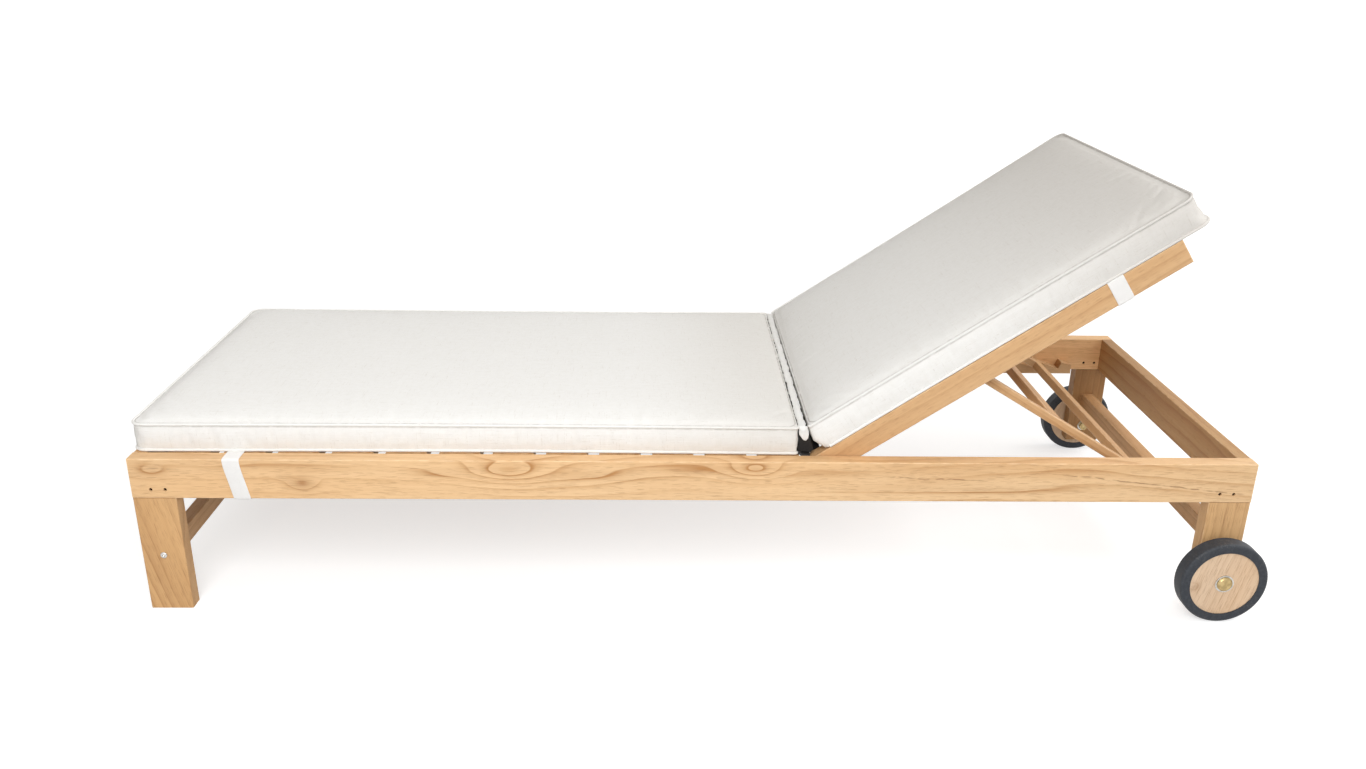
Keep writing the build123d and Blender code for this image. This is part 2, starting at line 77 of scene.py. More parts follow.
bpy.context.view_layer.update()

Colour = tuple[float, float, float]
Point = tuple[float, float, float]
Socket = bpy.types.NodeSocket
Feed = Union[Socket, float, tuple, None]
Outline = tuple[tuple[float, float], ...]

WHITE: Colour = (1.0, 1.0, 1.0)
SIDES = (-1.0, 1.0)

# Margin of a choice by place, reach of a weld, and a move that counts as none
TINY = 1e-4
WELD = 1e-5
STILL = 1e-7

# Angles in degrees and places, as the CAD frame has them at rest
BACK_ANGLE = 34.0
PROP_SLOPE = 30.989
PIVOT = Vector((0.2016, 0.0, 0.277))
AXLE = Vector((0.940, 0.0, 0.080))


class Grain(Enum):
    """Way that a timber's grain runs: its slope from +X in degrees, and whether it crosses."""

    LENGTHWISE = (0.0, False)
    ACROSS = (0.0, True)
    UPRIGHT = (-90.0, False)
    SLANTED = (-103.0, False)
    LEANING = (-76.0, False)
    BACK = (-BACK_ANGLE, False)
    BACK_ACROSS = (-BACK_ANGLE, True)
    PROP = (PROP_SLOPE, False)
    PROP_ACROSS = (PROP_SLOPE, True)

    def turn(self) -> Matrix:
        """Rotation from the timber's own frame, whose X is the grain, to the row frame.

        Returns:
            The rotation.
        """
        slope, crosses = self.value
        turned = Matrix.Rotation(math.radians(slope), 3, "Y")
        if crosses:
            turned = turned @ Matrix.Rotation(math.radians(90.0), 3, "Z")
        return turned


class Part(Enum):
    """Kind of mesh element that a selection takes."""

    VERTEX = "VERT"
    EDGE = "EDGE"
    FACE = "FACE"


# Modelling helpers


def deselect_all() -> None:
    """Leaves nothing selected and nothing active."""
    for obj in bpy.context.view_layer.objects:
        obj.select_set(False)
    bpy.context.view_layer.objects.active = None


def activate(obj: bpy.types.Object) -> None:
    """Makes one object the only selected and active one.

    Args:
        obj: The object.
    """
    deselect_all()
    obj.select_set(True)
    bpy.context.view_layer.objects.active = obj


@contextmanager
def editing(obj: bpy.types.Object) -> Iterator[None]:
    """Edit mode on one object for the length of a with block.

    Args:
        obj: The object to edit.

    Yields:
        Nothing, once the object is in edit mode.
    """
    activate(obj)
    bpy.ops.object.mode_set(mode="EDIT")
    try:
        yield
    finally:
        bpy.ops.object.mode_set(mode="OBJECT")


def choose(
    obj: bpy.types.Object, part: Part, test: Callable[[Vector, Vector], bool]
) -> None:
    """Selects mesh elements by their place and direction, from inside edit mode.

    Args:
        obj: The object in edit mode.
        part: Vertices, edges or faces.
        test: Takes an element's middle and its normal or, for an edge, its run.
    """
    bpy.ops.mesh.select_all(action="DESELECT")
    bpy.ops.mesh.select_mode(type=part.value)
    bpy.ops.object.mode_set(mode="OBJECT")
    mesh = obj.data
    if part is Part.VERTEX:
        for vertex in mesh.vertices:
            vertex.select = test(vertex.co, vertex.normal)
    elif part is Part.EDGE:
        for edge in mesh.edges:
            start, end = (mesh.vertices[i].co for i in edge.vertices)
            edge.select = test((start + end) / 2, end - start)
    else:
        for face in mesh.polygons:
            face.select = test(face.center, face.normal)
    bpy.ops.object.mode_set(mode="EDIT")


def apply_modifiers(obj: bpy.types.Object) -> None:
    """Applies every modifier of an object, in order.

    Args:
        obj: The object.
    """
    activate(obj)
    for modifier in list(obj.modifiers):
        bpy.ops.object.modifier_apply(modifier=modifier.name)


def settle(obj: bpy.types.Object, place: Matrix | None = None) -> None:
    """Puts an object's place into its mesh, so that the object stands at the origin.

    Args:
        obj: The object.
        place: Where it is put first, or nothing if it stands there.
    """
    if place is not None:
        obj.matrix_world = place @ obj.matrix_world
    bpy.context.view_layer.update()
    activate(obj)
    bpy.ops.object.transform_apply(location=True, rotation=True, scale=True)


def soften_shading(obj: bpy.types.Object, degrees: float) -> None:
    """Smooth shading, with edges sharper than an angle left crisp."""
    activate(obj)
    bpy.ops.object.shade_smooth_by_angle(angle=math.radians(degrees))


def face_outwards(obj: bpy.types.Object) -> None:
    """Turns an object's faces outwards.

    Args:
        obj: The object.
    """
    with editing(obj):
        bpy.ops.mesh.select_all(action="SELECT")
        bpy.ops.mesh.normals_make_consistent(inside=False)


def outward(seat: Vector, side: float) -> Matrix:
    """Place of a turned piece on a seat, with its axis away from the lounger's middle."""
    return Matrix.Translation(seat) @ Matrix.Rotation(math.radians(90.0) * -side, 4, "X")


def joined(objs: list[bpy.types.Object], name: str) -> bpy.types.Object:
    """One object from several.

    Args:
        objs: The objects, the first of which takes in the others.
        name: The name of the result.

    Returns:
        The joined object.
    """
    deselect_all()
    for obj in objs:
        obj.select_set(True)
    bpy.context.view_layer.objects.active = objs[0]
    if len(objs) > 1:
        bpy.ops.object.join()
    objs[0].name = name
    objs[0].data.name = name
    return objs[0]


def turned_piece(name: str, profile: Outline, sides: int) -> bpy.types.Object:
    """A closed turned piece, raised ring by ring along +Z from a disc.

    Args:
        name: The piece's name.
        profile: Radius and height of each ring, from the bottom to the top.
        sides: How many sides the rings have.

    Returns:
        The new object at the origin.
    """
    radius, height = profile[0]
    deselect_all()
    bpy.ops.mesh.primitive_circle_add(
        vertices=sides, radius=radius, fill_type="NGON", location=(0, 0, height)
    )
    piece = bpy.context.active_object
    piece.name = name
    settle(piece)
    with editing(piece):
        for next_radius, next_height in profile[1:]:
            bpy.ops.mesh.extrude_region_move(
                TRANSFORM_OT_translate={"value": (0, 0, next_height - height)}
            )
            factor = next_radius / radius
            bpy.ops.transform.resize(
                value=(factor, factor, 1), center_override=(0, 0, next_height)
            )
            radius, height = next_radius, next_height
        bpy.ops.mesh.select_all(action="SELECT")
        bpy.ops.mesh.normals_make_consistent(inside=False)
    return piece


# Shader building


class Board:
    """A shader tree laid out by short calls."""

    def __init__(self, tree: bpy.types.ShaderNodeTree) -> None:
        """Starts on a tree.

        Args:
            tree: The node tree to add nodes to.
        """
        self.tree = tree

    def node(self, kind: str, **settings: object) -> bpy.types.Node:
        """Adds a node and sets its own properties.

        Args:
            kind: The node's type.
            settings: Its own properties, by name.

        Returns:
            The new node.
        """
        made = self.tree.nodes.new(kind)
        for key, value in settings.items():
            setattr(made, key, value)
        return made

    def feed(self, socket: Socket, value: Feed) -> None:
        """Links a socket to another, or sets its constant.

        Args:
            socket: The input.
            value: An output, a constant, or nothing to leave it.
        """
        if value is None:
            return
        if isinstance(value, bpy.types.NodeSocket):
            self.tree.links.new(value, socket)
        elif isinstance(value, tuple) and socket.type == "RGBA":
            socket.default_value = (*value, 1.0)
        else:
            socket.default_value = value

    def math(self, operation: str, *values: Feed, clamp: bool = False) -> Socket:
        """A Math node of the given values.

        Args:
            operation: The node's operation.
            values: Its inputs in order.
            clamp: Whether the result is kept from 0 to 1.

        Returns:
            Its output.
        """
        made = self.node("ShaderNodeMath", operation=operation, use_clamp=clamp)
        for socket, value in zip(made.inputs, values):
            self.feed(socket, value)
        return made.outputs[0]

    def vector(self, operation: str, *values: Feed) -> Socket:
        """A Vector Math node of the given values, and its vector or value output.

        Args:
            operation: The node's operation.
            values: Its inputs in order.

        Returns:
            Its output.
        """
        made = self.node("ShaderNodeVectorMath", operation=operation)
        for socket, value in zip(made.inputs, values):
            self.feed(socket, value)
        scalar = operation in ("DOT_PRODUCT", "LENGTH", "DISTANCE")
        return made.outputs["Value" if scalar else "Vector"]

    def bell(self, square: Feed) -> Socket:
        """A mask that falls from 1 as the square of a distance grows."""
        return self.math("EXPONENT", self.math("MULTIPLY", square, -1.0))

    def mix(self, share: Feed, first: Feed, second: Feed, blend: str = "MIX") -> Socket:
        """A colour mix.

        Args:
            share: How much of the second colour shows.
            first: The colour below.
            second: The colour above.
            blend: How the second is laid on the first.

        Returns:
            The mixed colour.
        """
        made = self.node("ShaderNodeMix", data_type="RGBA", blend_type=blend)
        self.feed(made.inputs[0], share)
        self.feed(made.inputs[6], first)
        self.feed(made.inputs[7], second)
        return made.outputs[2]

    def blend(self, share: Feed, first: Feed, second: Feed) -> Socket:
        """A mix of two numbers.

        Args:
            share: How much of the second number counts.
            first: The number at share 0.
            second: The number at share 1.

        Returns:
            The mixed number.
        """
        made = self.node("ShaderNodeMix", data_type="FLOAT")
        self.feed(made.inputs[0], share)
        self.feed(made.inputs[2], first)
        self.feed(made.inputs[3], second)
        return made.outputs[0]

    def span(self, value: Feed, low: float, high: float, smooth: bool = True) -> Socket:
        """A number brought from low..high to 0..1, which may also run backwards.

        Args:
            value: The number.
            low: What becomes 0.
            high: What becomes 1.
            smooth: Whether both ends are eased.

        Returns:
            The share, from 0 to 1.
        """
        made = self.node("ShaderNodeMapRange", clamp=True)
        made.interpolation_type = "SMOOTHSTEP" if smooth else "LINEAR"
        self.feed(made.inputs[0], value)
        self.feed(made.inputs[1], low)
        self.feed(made.inputs[2], high)
        return made.outputs[0]

    def ramp(self, value: Feed, stops: list[tuple[float, float]]) -> Socket:
        """A curve of a number, through the given places and values.

        Args:
            value: The number, from 0 to 1.
            stops: Place and value of each stop.

        Returns:
            The curve's value.
        """
        made = self.node("ShaderNodeValToRGB")
        points = made.color_ramp.elements
        while len(points) < len(stops):
            points.new(0.5)
        for point, (place, level) in zip(points, stops):
            point.position = place
            point.color = (level, level, level, 1.0)
        self.feed(made.inputs[0], value)
        return made.outputs[0]

    def noise(
        self, vector: Feed, stretch: Point, detail: float = 2.0, rough: float = 0.5
    ) -> Socket:
        """Noise on a place that is first stretched along each axis.

        Args:
            vector: The place, in metres.
            stretch: Cells per metre along each axis.
            detail: Octaves of the noise.
            rough: Share of each further octave.

        Returns:
            The noise, around 0.5.
        """
        made = self.node("ShaderNodeTexNoise")
        self.feed(made.inputs["Vector"], self.vector("MULTIPLY", vector, stretch))
        made.inputs["Scale"].default_value = 1.0
        made.inputs["Detail"].default_value = detail
        made.inputs["Roughness"].default_value = rough
        return made.outputs[0]

    def parts(self, vector: Feed) -> tuple[Socket, Socket, Socket]:
        """The X, Y and Z of a vector.

        Args:
            vector: The vector.

        Returns:
            Its three numbers.
        """
        made = self.node("ShaderNodeSeparateXYZ")
        self.feed(made.inputs[0], vector)
        return made.outputs[0], made.outputs[1], made.outputs[2]

    def whole(self, x: Feed, y: Feed, z: Feed) -> Socket:
        """A vector of three numbers.

        Args:
            x: Its X.
            y: Its Y.
            z: Its Z.

        Returns:
            The vector.
        """
        made = self.node("ShaderNodeCombineXYZ")
        for socket, value in zip(made.inputs, (x, y, z)):
            self.feed(socket, value)
        return made.outputs[0]

    def group(self, tree: bpy.types.ShaderNodeTree, **inputs: Feed) -> bpy.types.Node:
        """A shared effect, with its inputs given by name, spaces as underscores.

        Args:
            tree: The effect's node group.
            inputs: What each input takes.

        Returns:
            The group's node.
        """
        made = self.node("ShaderNodeGroup", node_tree=tree)
        for key, value in inputs.items():
            self.feed(made.inputs[key.replace("_", " ")], value)
        return made


def new_effect(
    name: str, inputs: dict[str, object], outputs: dict[str, str]
) -> tuple[Board, bpy.types.Node, bpy.types.Node]:
    """Starts a shared effect.

    Args:
        name: The effect's name.
        inputs: Each input's name with its default, whose shape gives its type.
        outputs: Each output's name with its type: Float or Color.

    Returns:
        The board, the node of its inputs and the node of its outputs.
    """
    tree = bpy.data.node_groups.new(name, "ShaderNodeTree")
    for key, value in inputs.items():
        kind = "NodeSocketFloat"
        if isinstance(value, tuple):
            kind = "NodeSocketColor" if len(value) == 4 else "NodeSocketVector"
        socket = tree.interface.new_socket(key, in_out="INPUT", socket_type=kind)
        socket.default_value = value
    for key, kind in outputs.items():
        tree.interface.new_socket(
            key, in_out="OUTPUT", socket_type="NodeSocket" + kind
        )
    board = Board(tree)
    return board, board.node("NodeGroupInput"), board.node("NodeGroupOutput")


def effect(build: Callable[[], bpy.types.ShaderNodeTree]) -> Callable:
    """Keeps one copy of an effect, built at its first use.

    Args:
        build: Builds the effect's node group.

    Returns:
        What gives the same node group each time.
    """
    kept: list[bpy.types.ShaderNodeTree] = []

    def once() -> bpy.types.ShaderNodeTree:
        """The effect's tree.

        Returns:
            The node group.
        """
        if not kept:
            kept.append(build())
        return kept[0]

    return once


@effect
def teak_grain() -> bpy.types.ShaderNodeTree:
    """Growth rings, fibre streaks and pores of teak whose grain runs along X.

    Returns:
        The node group.
    """
    board, given, result = new_effect(
        "teak_grain",
        {
            "Vector": (0.0, 0.0, 0.0),
            "Seed": 0.0,
            "Rings": 0.0,
            "Focus": 0.0,
            "Ring Width": 0.014,
            "Wander": 3.0,
            "Contrast": 0.6,
            "Light": (0.8, 0.6, 0.35, 1.0),
            "Dark": (0.5, 0.3, 0.13, 1.0),
            "End": 0.0,
        },
        {"Color": "Color", "Roughness": "Float", "Height": "Float"},
    )
    shift = board.vector("SCALE", (3.1, 1.7, 2.3))
    board.feed(shift.node.inputs["Scale"], given.outputs["Seed"])
    place = board.vector("ADD", given.outputs["Vector"], shift)
    _, across, up = board.parts(given.outputs["Vector"])
    wander = board.math("SUBTRACT", board.noise(place, (2.3, 6.0, 6.0), 1.0), 0.5)
    ripple = board.math("SUBTRACT", board.noise(place, (11.0, 46.0, 46.0), 2.0), 0.5)
    rings = board.math("MULTIPLY_ADD", across, 0.55, up)
    rings = board.math("DIVIDE", rings, given.outputs["Ring Width"])
    rings = board.math("MULTIPLY_ADD", wander, given.outputs["Wander"], rings)
    rings = board.math("MULTIPLY_ADD", ripple, 0.32, rings)
    rings = board.math("ADD", rings, given.outputs["Rings"])
    band = board.ramp(
        board.math("FRACT", rings),
        [(0.0, 0.04), (0.42, 0.08), (0.74, 0.40), (0.93, 1.0), (0.985, 0.30), (1.0, 0.04)],
    )
    strength = board.span(board.noise(place, (2.1, 12.0, 12.0), 2.0), 0.36, 0.68)
    strength = board.math("MULTIPLY_ADD", strength, 0.95, 0.08)
    strength = board.math("MULTIPLY_ADD", given.outputs["Focus"], 1.7, strength)
    streak = board.noise(place, (5.0, 170.0, 170.0), 3.0, 0.62)
    fibre = board.noise(place, (24.0, 1200.0, 1200.0), 1.0)
    amount = board.math("MULTIPLY", band, strength)
    amount = board.math("MULTIPLY", amount, given.outputs["Contrast"])
    amount = board.math("MULTIPLY_ADD", board.math("SUBTRACT", streak, 0.5), 0.46, amount)
    amount = board.math("MULTIPLY_ADD", board.math("SUBTRACT", fibre, 0.5), 0.26, amount)
    broad = board.span(board.noise(place, (1.8, 15.0, 15.0), 2.0), 0.46, 0.72)
    amount = board.math("MULTIPLY_ADD", broad, 0.26, amount)
    amount = board.math("ADD", amount, 0.05, clamp=True)
    colour = board.mix(amount, given.outputs["Light"], given.outputs["Dark"])
    patch = board.span(board.noise(place, (1.3, 8.0, 8.0), 3.0), 0.35, 0.75)
    colour = board.mix(
        board.math("MULTIPLY", patch, 0.4), colour, (0.95, 0.82, 0.66), "MULTIPLY"
    )
    pore = board.span(board.noise(place, (50.0, 1500.0, 1500.0), 0.0), 0.66, 0.76)
    colour = board.mix(
        board.math("MULTIPLY", pore, 0.34), colour, (0.45, 0.30, 0.18), "MULTIPLY"
    )
    end = given.outputs["End"]
    speck = board.noise(place, (900.0, 900.0, 900.0), 2.0)
    speck = board.span(speck, 0.35, 0.65)
    tone = board.mix(speck, (0.62, 0.52, 0.42), (0.84, 0.76, 0.66))
    colour = board.mix(end, colour, board.mix(1.0, colour, tone, "MULTIPLY"))
    board.feed(result.inputs["Color"], colour)
    rough = board.math("MULTIPLY_ADD", streak, 0.22, 0.44)
    rough = board.math("MULTIPLY_ADD", end, 0.12, rough)
    board.feed(result.inputs["Roughness"], board.math("MULTIPLY_ADD", pore, 0.1, rough))
    height = board.math("MULTIPLY_ADD", pore, -0.8, fibre)
    height = board.math("MULTIPLY_ADD", band, 0.3, height)
    board.feed(result.inputs["Height"], height)
    return board.tree


@effect
def drying_check() -> bpy.types.ShaderNodeTree:
    """Mask of one hair-thin dark line that wanders along a board.

    Returns:
        The node group.
    """
    board, given, result = new_effect(
        "drying_check",
        {
            "Vector": (0.0, 0.0, 0.0),
            "Start": 0.0,
            "End": 1.0,
            "Level": 0.0,
            "Slope": 0.0,
            "Width": 0.0012,
        },
        {"Mask": "Float"},
    )
    along, _, up = board.parts(given.outputs["Vector"])
    run = board.math("SUBTRACT", along, given.outputs["Start"])
    sway = board.noise(given.outputs["Vector"], (16.0, 1.0, 1.0), 3.0)
    sway = board.math("SUBTRACT", sway, 0.5)
    line = board.math("MULTIPLY_ADD", run, given.outputs["Slope"], given.outputs["Level"])
    line = board.math("MULTIPLY_ADD", sway, 0.011, line)
    away = board.math("DIVIDE", board.math("SUBTRACT", up, line), given.outputs["Width"])
    mask = board.bell(board.math("MULTIPLY", away, away))
    begun = board.math("MULTIPLY", run, 25.0, clamp=True)
    left = board.math("SUBTRACT", given.outputs["End"], along)
    left = board.math("MULTIPLY", left, 25.0, clamp=True)
    broken = board.noise(given.outputs["Vector"], (40.0, 1.0, 1.0), 2.0)
    broken = board.span(broken, 0.36, 0.56)
    mask = board.math("MULTIPLY", mask, board.math("MULTIPLY", begun, left))
    board.feed(result.inputs["Mask"], board.math("MULTIPLY", mask, broken))
    return board.tree


@effect
def grain_figure() -> bpy.types.ShaderNodeTree:
    """A swelling in the rings round one place, which draws an eye or a knot.

    Returns:
        The node group.
    """
    board, given, result = new_effect(
        "grain_figure",
        {
            "Vector": (0.0, 0.0, 0.0),
            "Middle": (0.0, 0.0, 0.0),
            "Reach": (0.1, 0.1, 0.1),
            "Rings": 2.0,
        },
        {"Rings": "Float", "Mask": "Float"},
    )
    away = board.vector("SUBTRACT", given.outputs["Vector"], given.outputs["Middle"])
    away = board.vector("DIVIDE", away, given.outputs["Reach"])
    square = board.vector("DOT_PRODUCT", away, away)
    mask = board.bell(square)
    board.feed(result.inputs["Mask"], mask)
    board.feed(result.inputs["Rings"], board.math("MULTIPLY", mask, given.outputs["Rings"]))
    return board.tree


@effect
def edge_wear() -> bpy.types.ShaderNodeTree:
    """Mask of the rubbed edges of a straight-sided piece, from its own middle.

    Returns:
        The node group.
    """
    board, given, result = new_effect(
        "edge_wear",
        {"Vector": (0.0, 0.0, 0.0), "Half": (0.1, 0.1, 0.1), "Width": 0.004},
        {"Mask": "Float"},
    )
    inward = board.vector(
        "SUBTRACT", given.outputs["Half"], board.vector("ABSOLUTE", given.outputs["Vector"])
    )
    x, y, z = board.parts(inward)
    low, high = board.math("MINIMUM", x, y), board.math("MAXIMUM", x, y)
    second = board.math("MAXIMUM", low, board.math("MINIMUM", high, z))
    near = board.math("DIVIDE", second, given.outputs["Width"])
    near = board.span(near, 1.0, 0.0)
    patchy = board.noise(given.outputs["Vector"], (60.0, 60.0, 60.0), 3.0)
    patchy = board.span(patchy, 0.3, 0.7)
    board.feed(result.inputs["Mask"], board.math("MULTIPLY", near, patchy))
    return board.tree


@effect
def plain_weave() -> bpy.types.ShaderNodeTree:
    """Threads of a plain weave laid flat on each side of a boxy piece, with slub yarns.

    Returns:
        The node group.
    """
    board, given, result = new_effect(
        "plain_weave",
        {
            "Vector": (0.0, 0.0, 0.0),
            "Normal": (0.0, 0.0, 1.0),
            "Thread": 0.0011,
        },
        {"Height": "Float", "Dark Slub": "Float", "Pale Slub": "Float", "Mottle": "Float"},
    )
    x, y, z = board.parts(given.outputs["Vector"])
    nx, _, nz = board.parts(board.vector("ABSOLUTE", given.outputs["Normal"]))
    flat = board.math("GREATER_THAN", nz, 0.6)
    end = board.math("GREATER_THAN", nx, 0.7)
    u = board.blend(end, x, y)
    v = board.blend(flat, z, y)
    v = board.blend(board.math("MULTIPLY", flat, end), v, y)
    turns = board.math("DIVIDE", math.pi, given.outputs["Thread"])
    warp = board.math("SINE", board.math("MULTIPLY", u, turns))
    weft = board.math("SINE", board.math("MULTIPLY", v, turns))
    over = board.math("GREATER_THAN", board.math("MULTIPLY", warp, weft), 0.0)
    lift = board.blend(
        over, board.math("ABSOLUTE", warp), board.math("ABSOLUTE", weft)
    )
    cloth = board.whole(u, v, 0.0)
    crosswise = board.noise(cloth, (520.0, 22.0, 1.0), 1.0)
    lengthwise = board.noise(cloth, (18.0, 560.0, 1.0), 1.0)
    fleck = board.noise(cloth, (210.0, 210.0, 1.0), 2.0)
    dark = board.math(
        "MAXIMUM", board.span(crosswise, 0.60, 0.74), board.span(lengthwise, 0.60, 0.74)
    )
    dark = board.math("MULTIPLY", dark, board.span(fleck, 0.40, 0.62))
    pale = board.span(board.noise(cloth, (14.0, 430.0, 1.0), 1.0), 0.62, 0.75)
    mottle = board.noise(cloth, (95.0, 95.0, 1.0), 4.0, 0.65)
    board.feed(result.inputs["Height"], board.math("MULTIPLY_ADD", dark, 0.4, lift))
    board.feed(result.inputs["Dark Slub"], dark)
    board.feed(result.inputs["Pale Slub"], pale)
    board.feed(result.inputs["Mottle"], mottle)
    return board.tree


@effect
def seam_shadow() -> bpy.types.ShaderNodeTree:
    """Mask of thin lines of painted shadow beside a boxed pad's piping, from one end of the
    pad.

    Returns:
        The node group.
    """
    board, given, result = new_effect(
        "seam_shadow",
        {
            "Vector": (0.0, 0.0, 0.0),
            "Normal": (0.0, 0.0, 1.0),
            "Half": (0.5, 0.3, 0.0),
            "Corner": 0.02,
            "Draw": 0.004,
            "Level": 0.05,
            "Slope": 0.0,
            "Width": 0.0015,
        },
        {"Mask": "Float"},
    )
    corner = given.outputs["Corner"]
    half_x, half_y, _ = board.parts(given.outputs["Half"])
    x, y, z = board.parts(given.outputs["Vector"])
    share = board.math("DIVIDE", board.math("SUBTRACT", x, half_x), half_x)
    bowed = board.math("SUBTRACT", 1.0, board.math("MULTIPLY", share, share))
    drawn = board.math("MULTIPLY", given.outputs["Draw"], bowed)
    past_x = board.math("ABSOLUTE", board.math("SUBTRACT", x, half_x))
    past_x = board.math("SUBTRACT", past_x, board.math("SUBTRACT", half_x, corner))
    past_y = board.math("ADD", board.math("ABSOLUTE", y), drawn)
    past_y = board.math("SUBTRACT", past_y, board.math("SUBTRACT", half_y, corner))
    outside = board.whole(
        board.math("MAXIMUM", past_x, 0.0), board.math("MAXIMUM", past_y, 0.0), 0.0
    )
    inside = board.math("MINIMUM", board.math("MAXIMUM", past_x, past_y), 0.0)
    inward = board.math("SUBTRACT", corner, board.vector("LENGTH", outside))
    inward = board.math("SUBTRACT", inward, inside)
    level = board.math("MULTIPLY_ADD", y, given.outputs["Slope"], given.outputs["Level"])
    below = board.math("SUBTRACT", level, z)
    _, _, facing = board.parts(given.outputs["Normal"])
    top = board.math("GREATER_THAN", facing, 0.5)
    away = board.blend(
        top, board.math("SUBTRACT", below, 0.0048), board.math("SUBTRACT", inward, 0.0034)
    )
    away = board.math("DIVIDE", away, given.outputs["Width"])
    mask = board.bell(board.math("MULTIPLY", away, away))
    uneven = board.noise(given.outputs["Vector"], (70.0, 70.0, 1.0), 2.0)
    uneven = board.span(uneven, 0.2, 0.6)
    mask = board.math("MULTIPLY", mask, board.blend(top, 0.55, 1.0))
    board.feed(result.inputs["Mask"], board.math("MULTIPLY", mask, uneven))
    return board.tree


@effect
def rubbed_metal() -> bpy.types.ShaderNodeTree:
    """Fine rub marks and dull patches of handled metal.

    Returns:
        The node group.
    """
    board, given, result = new_effect(
        "rubbed_metal",
        {"Vector": (0.0, 0.0, 0.0)},
        {"Rub": "Float", "Dull": "Float"},
    )
    rub = board.noise(given.outputs["Vector"], (2600.0, 2600.0, 240.0), 2.0, 0.6)
    dull = board.noise(given.outputs["Vector"], (150.0, 150.0, 150.0), 3.0)
    dull = board.span(dull, 0.38, 0.66)
    board.feed(result.inputs["Rub"], rub)
    board.feed(result.inputs["Dull"], dull)
    return board.tree


@effect
def settled_dust() -> bpy.types.ShaderNodeTree:
    """Soft patches of dust and scuffs.

    Returns:
        The node group.
    """
    board, given, result = new_effect(
        "settled_dust", {"Vector": (0.0, 0.0, 0.0)}, {"Mask": "Float"}
    )
    broad = board.noise(given.outputs["Vector"], (28.0, 28.0, 28.0), 4.0, 0.6)
    broad = board.span(broad, 0.42, 0.72)
    fine = board.noise(given.outputs["Vector"], (420.0, 420.0, 420.0), 2.0)
    fine = board.span(fine, 0.45, 0.7)
    board.feed(result.inputs["Mask"], board.math("MULTIPLY", broad, fine))
    return board.tree


# Finishes


def new_material(name: str) -> tuple[bpy.types.Material, Board, bpy.types.Node]:
    """A material with its board and its Principled shader.

    Args:
        name: The material's name.

    Returns:
        The material, its board and its shader.
    """
    material = bpy.data.materials.new(name)
    material.use_nodes = True
    board = Board(material.node_tree)
    shader = next(n for n in material.node_tree.nodes if n.type == "BSDF_PRINCIPLED")
    return material, board, shader


def own_place(board: Board, middle: Vector, turn: Matrix) -> tuple[Socket, Socket]:
    """Place and normal in a piece's own turned frame, which moves with the piece.

    Args:
        board: The material's board.
        middle: The frame's origin in the row frame.
        turn: The rotation from the frame to the row frame.

    Returns:
        The place and the normal.
    """
    coordinates = board.node("ShaderNodeTexCoord")
    place = board.node("ShaderNodeMapping", vector_type="TEXTURE")
    place.inputs["Location"].default_value = middle
    place.inputs["Rotation"].default_value = turn.to_euler()
    board.feed(place.inputs["Vector"], coordinates.outputs["Object"])
    normal = board.node("ShaderNodeMapping", vector_type="TEXTURE")
    normal.inputs["Rotation"].default_value = turn.to_euler()
    board.feed(normal.inputs["Vector"], coordinates.outputs["Normal"])
    return place.outputs[0], normal.outputs[0]


def add_relief(board: Board, shader: bpy.types.Node, height: Socket, depth: float) -> None:
    """Small relief on a shader's normal, with its depth in metres.

    Args:
        board: The material's board.
        shader: Its shader.
        height: The height, from 0 to 1.
        depth: The depth in metres.
    """
    bump = board.node("ShaderNodeBump")
    bump.inputs["Strength"].default_value = 1.0
    bump.inputs["Distance"].default_value = depth
    board.feed(bump.inputs["Height"], height)
    board.feed(shader.inputs["Normal"], bump.outputs[0])


def own_box(obj: bpy.types.Object, turn: Matrix) -> tuple[Vector, Vector]:
    """Middle in the row frame and half sizes in a turned frame of an object's mesh.

    Args:
        obj: The object.
        turn: The rotation from the turned frame to the row frame.

    Returns:
        The middle and the half sizes.
    """
    back = turn.inverted()
    points = [back @ vertex.co for vertex in obj.data.vertices]
    low = Vector([min(p[axis] for p in points) for axis in range(3)])
    high = Vector([max(p[axis] for p in points) for axis in range(3)])
    return turn @ ((low + high) / 2), (high - low) / 2


def wear(obj: bpy.types.Object, material: bpy.types.Material) -> None:
    """Puts one material on all of an object.

    Args:
        obj: The object.
        material: The material.
    """
    if not obj.material_slots:
        obj.data.materials.append(material)
    for slot in obj.material_slots:
        slot.material = material


@dataclass(frozen=True)
class Figure:
    """An eye or knot in a board: place and reach in the board's own frame, and its rings."""

    middle: Point
    reach: Point
    rings: float
    brown: float = 0.0


@dataclass(frozen=True)
class Check:
    """A dark hairline in a board: where it starts and ends, its height and its slope."""

    start: float
    end: float
    level: float
    slope: float


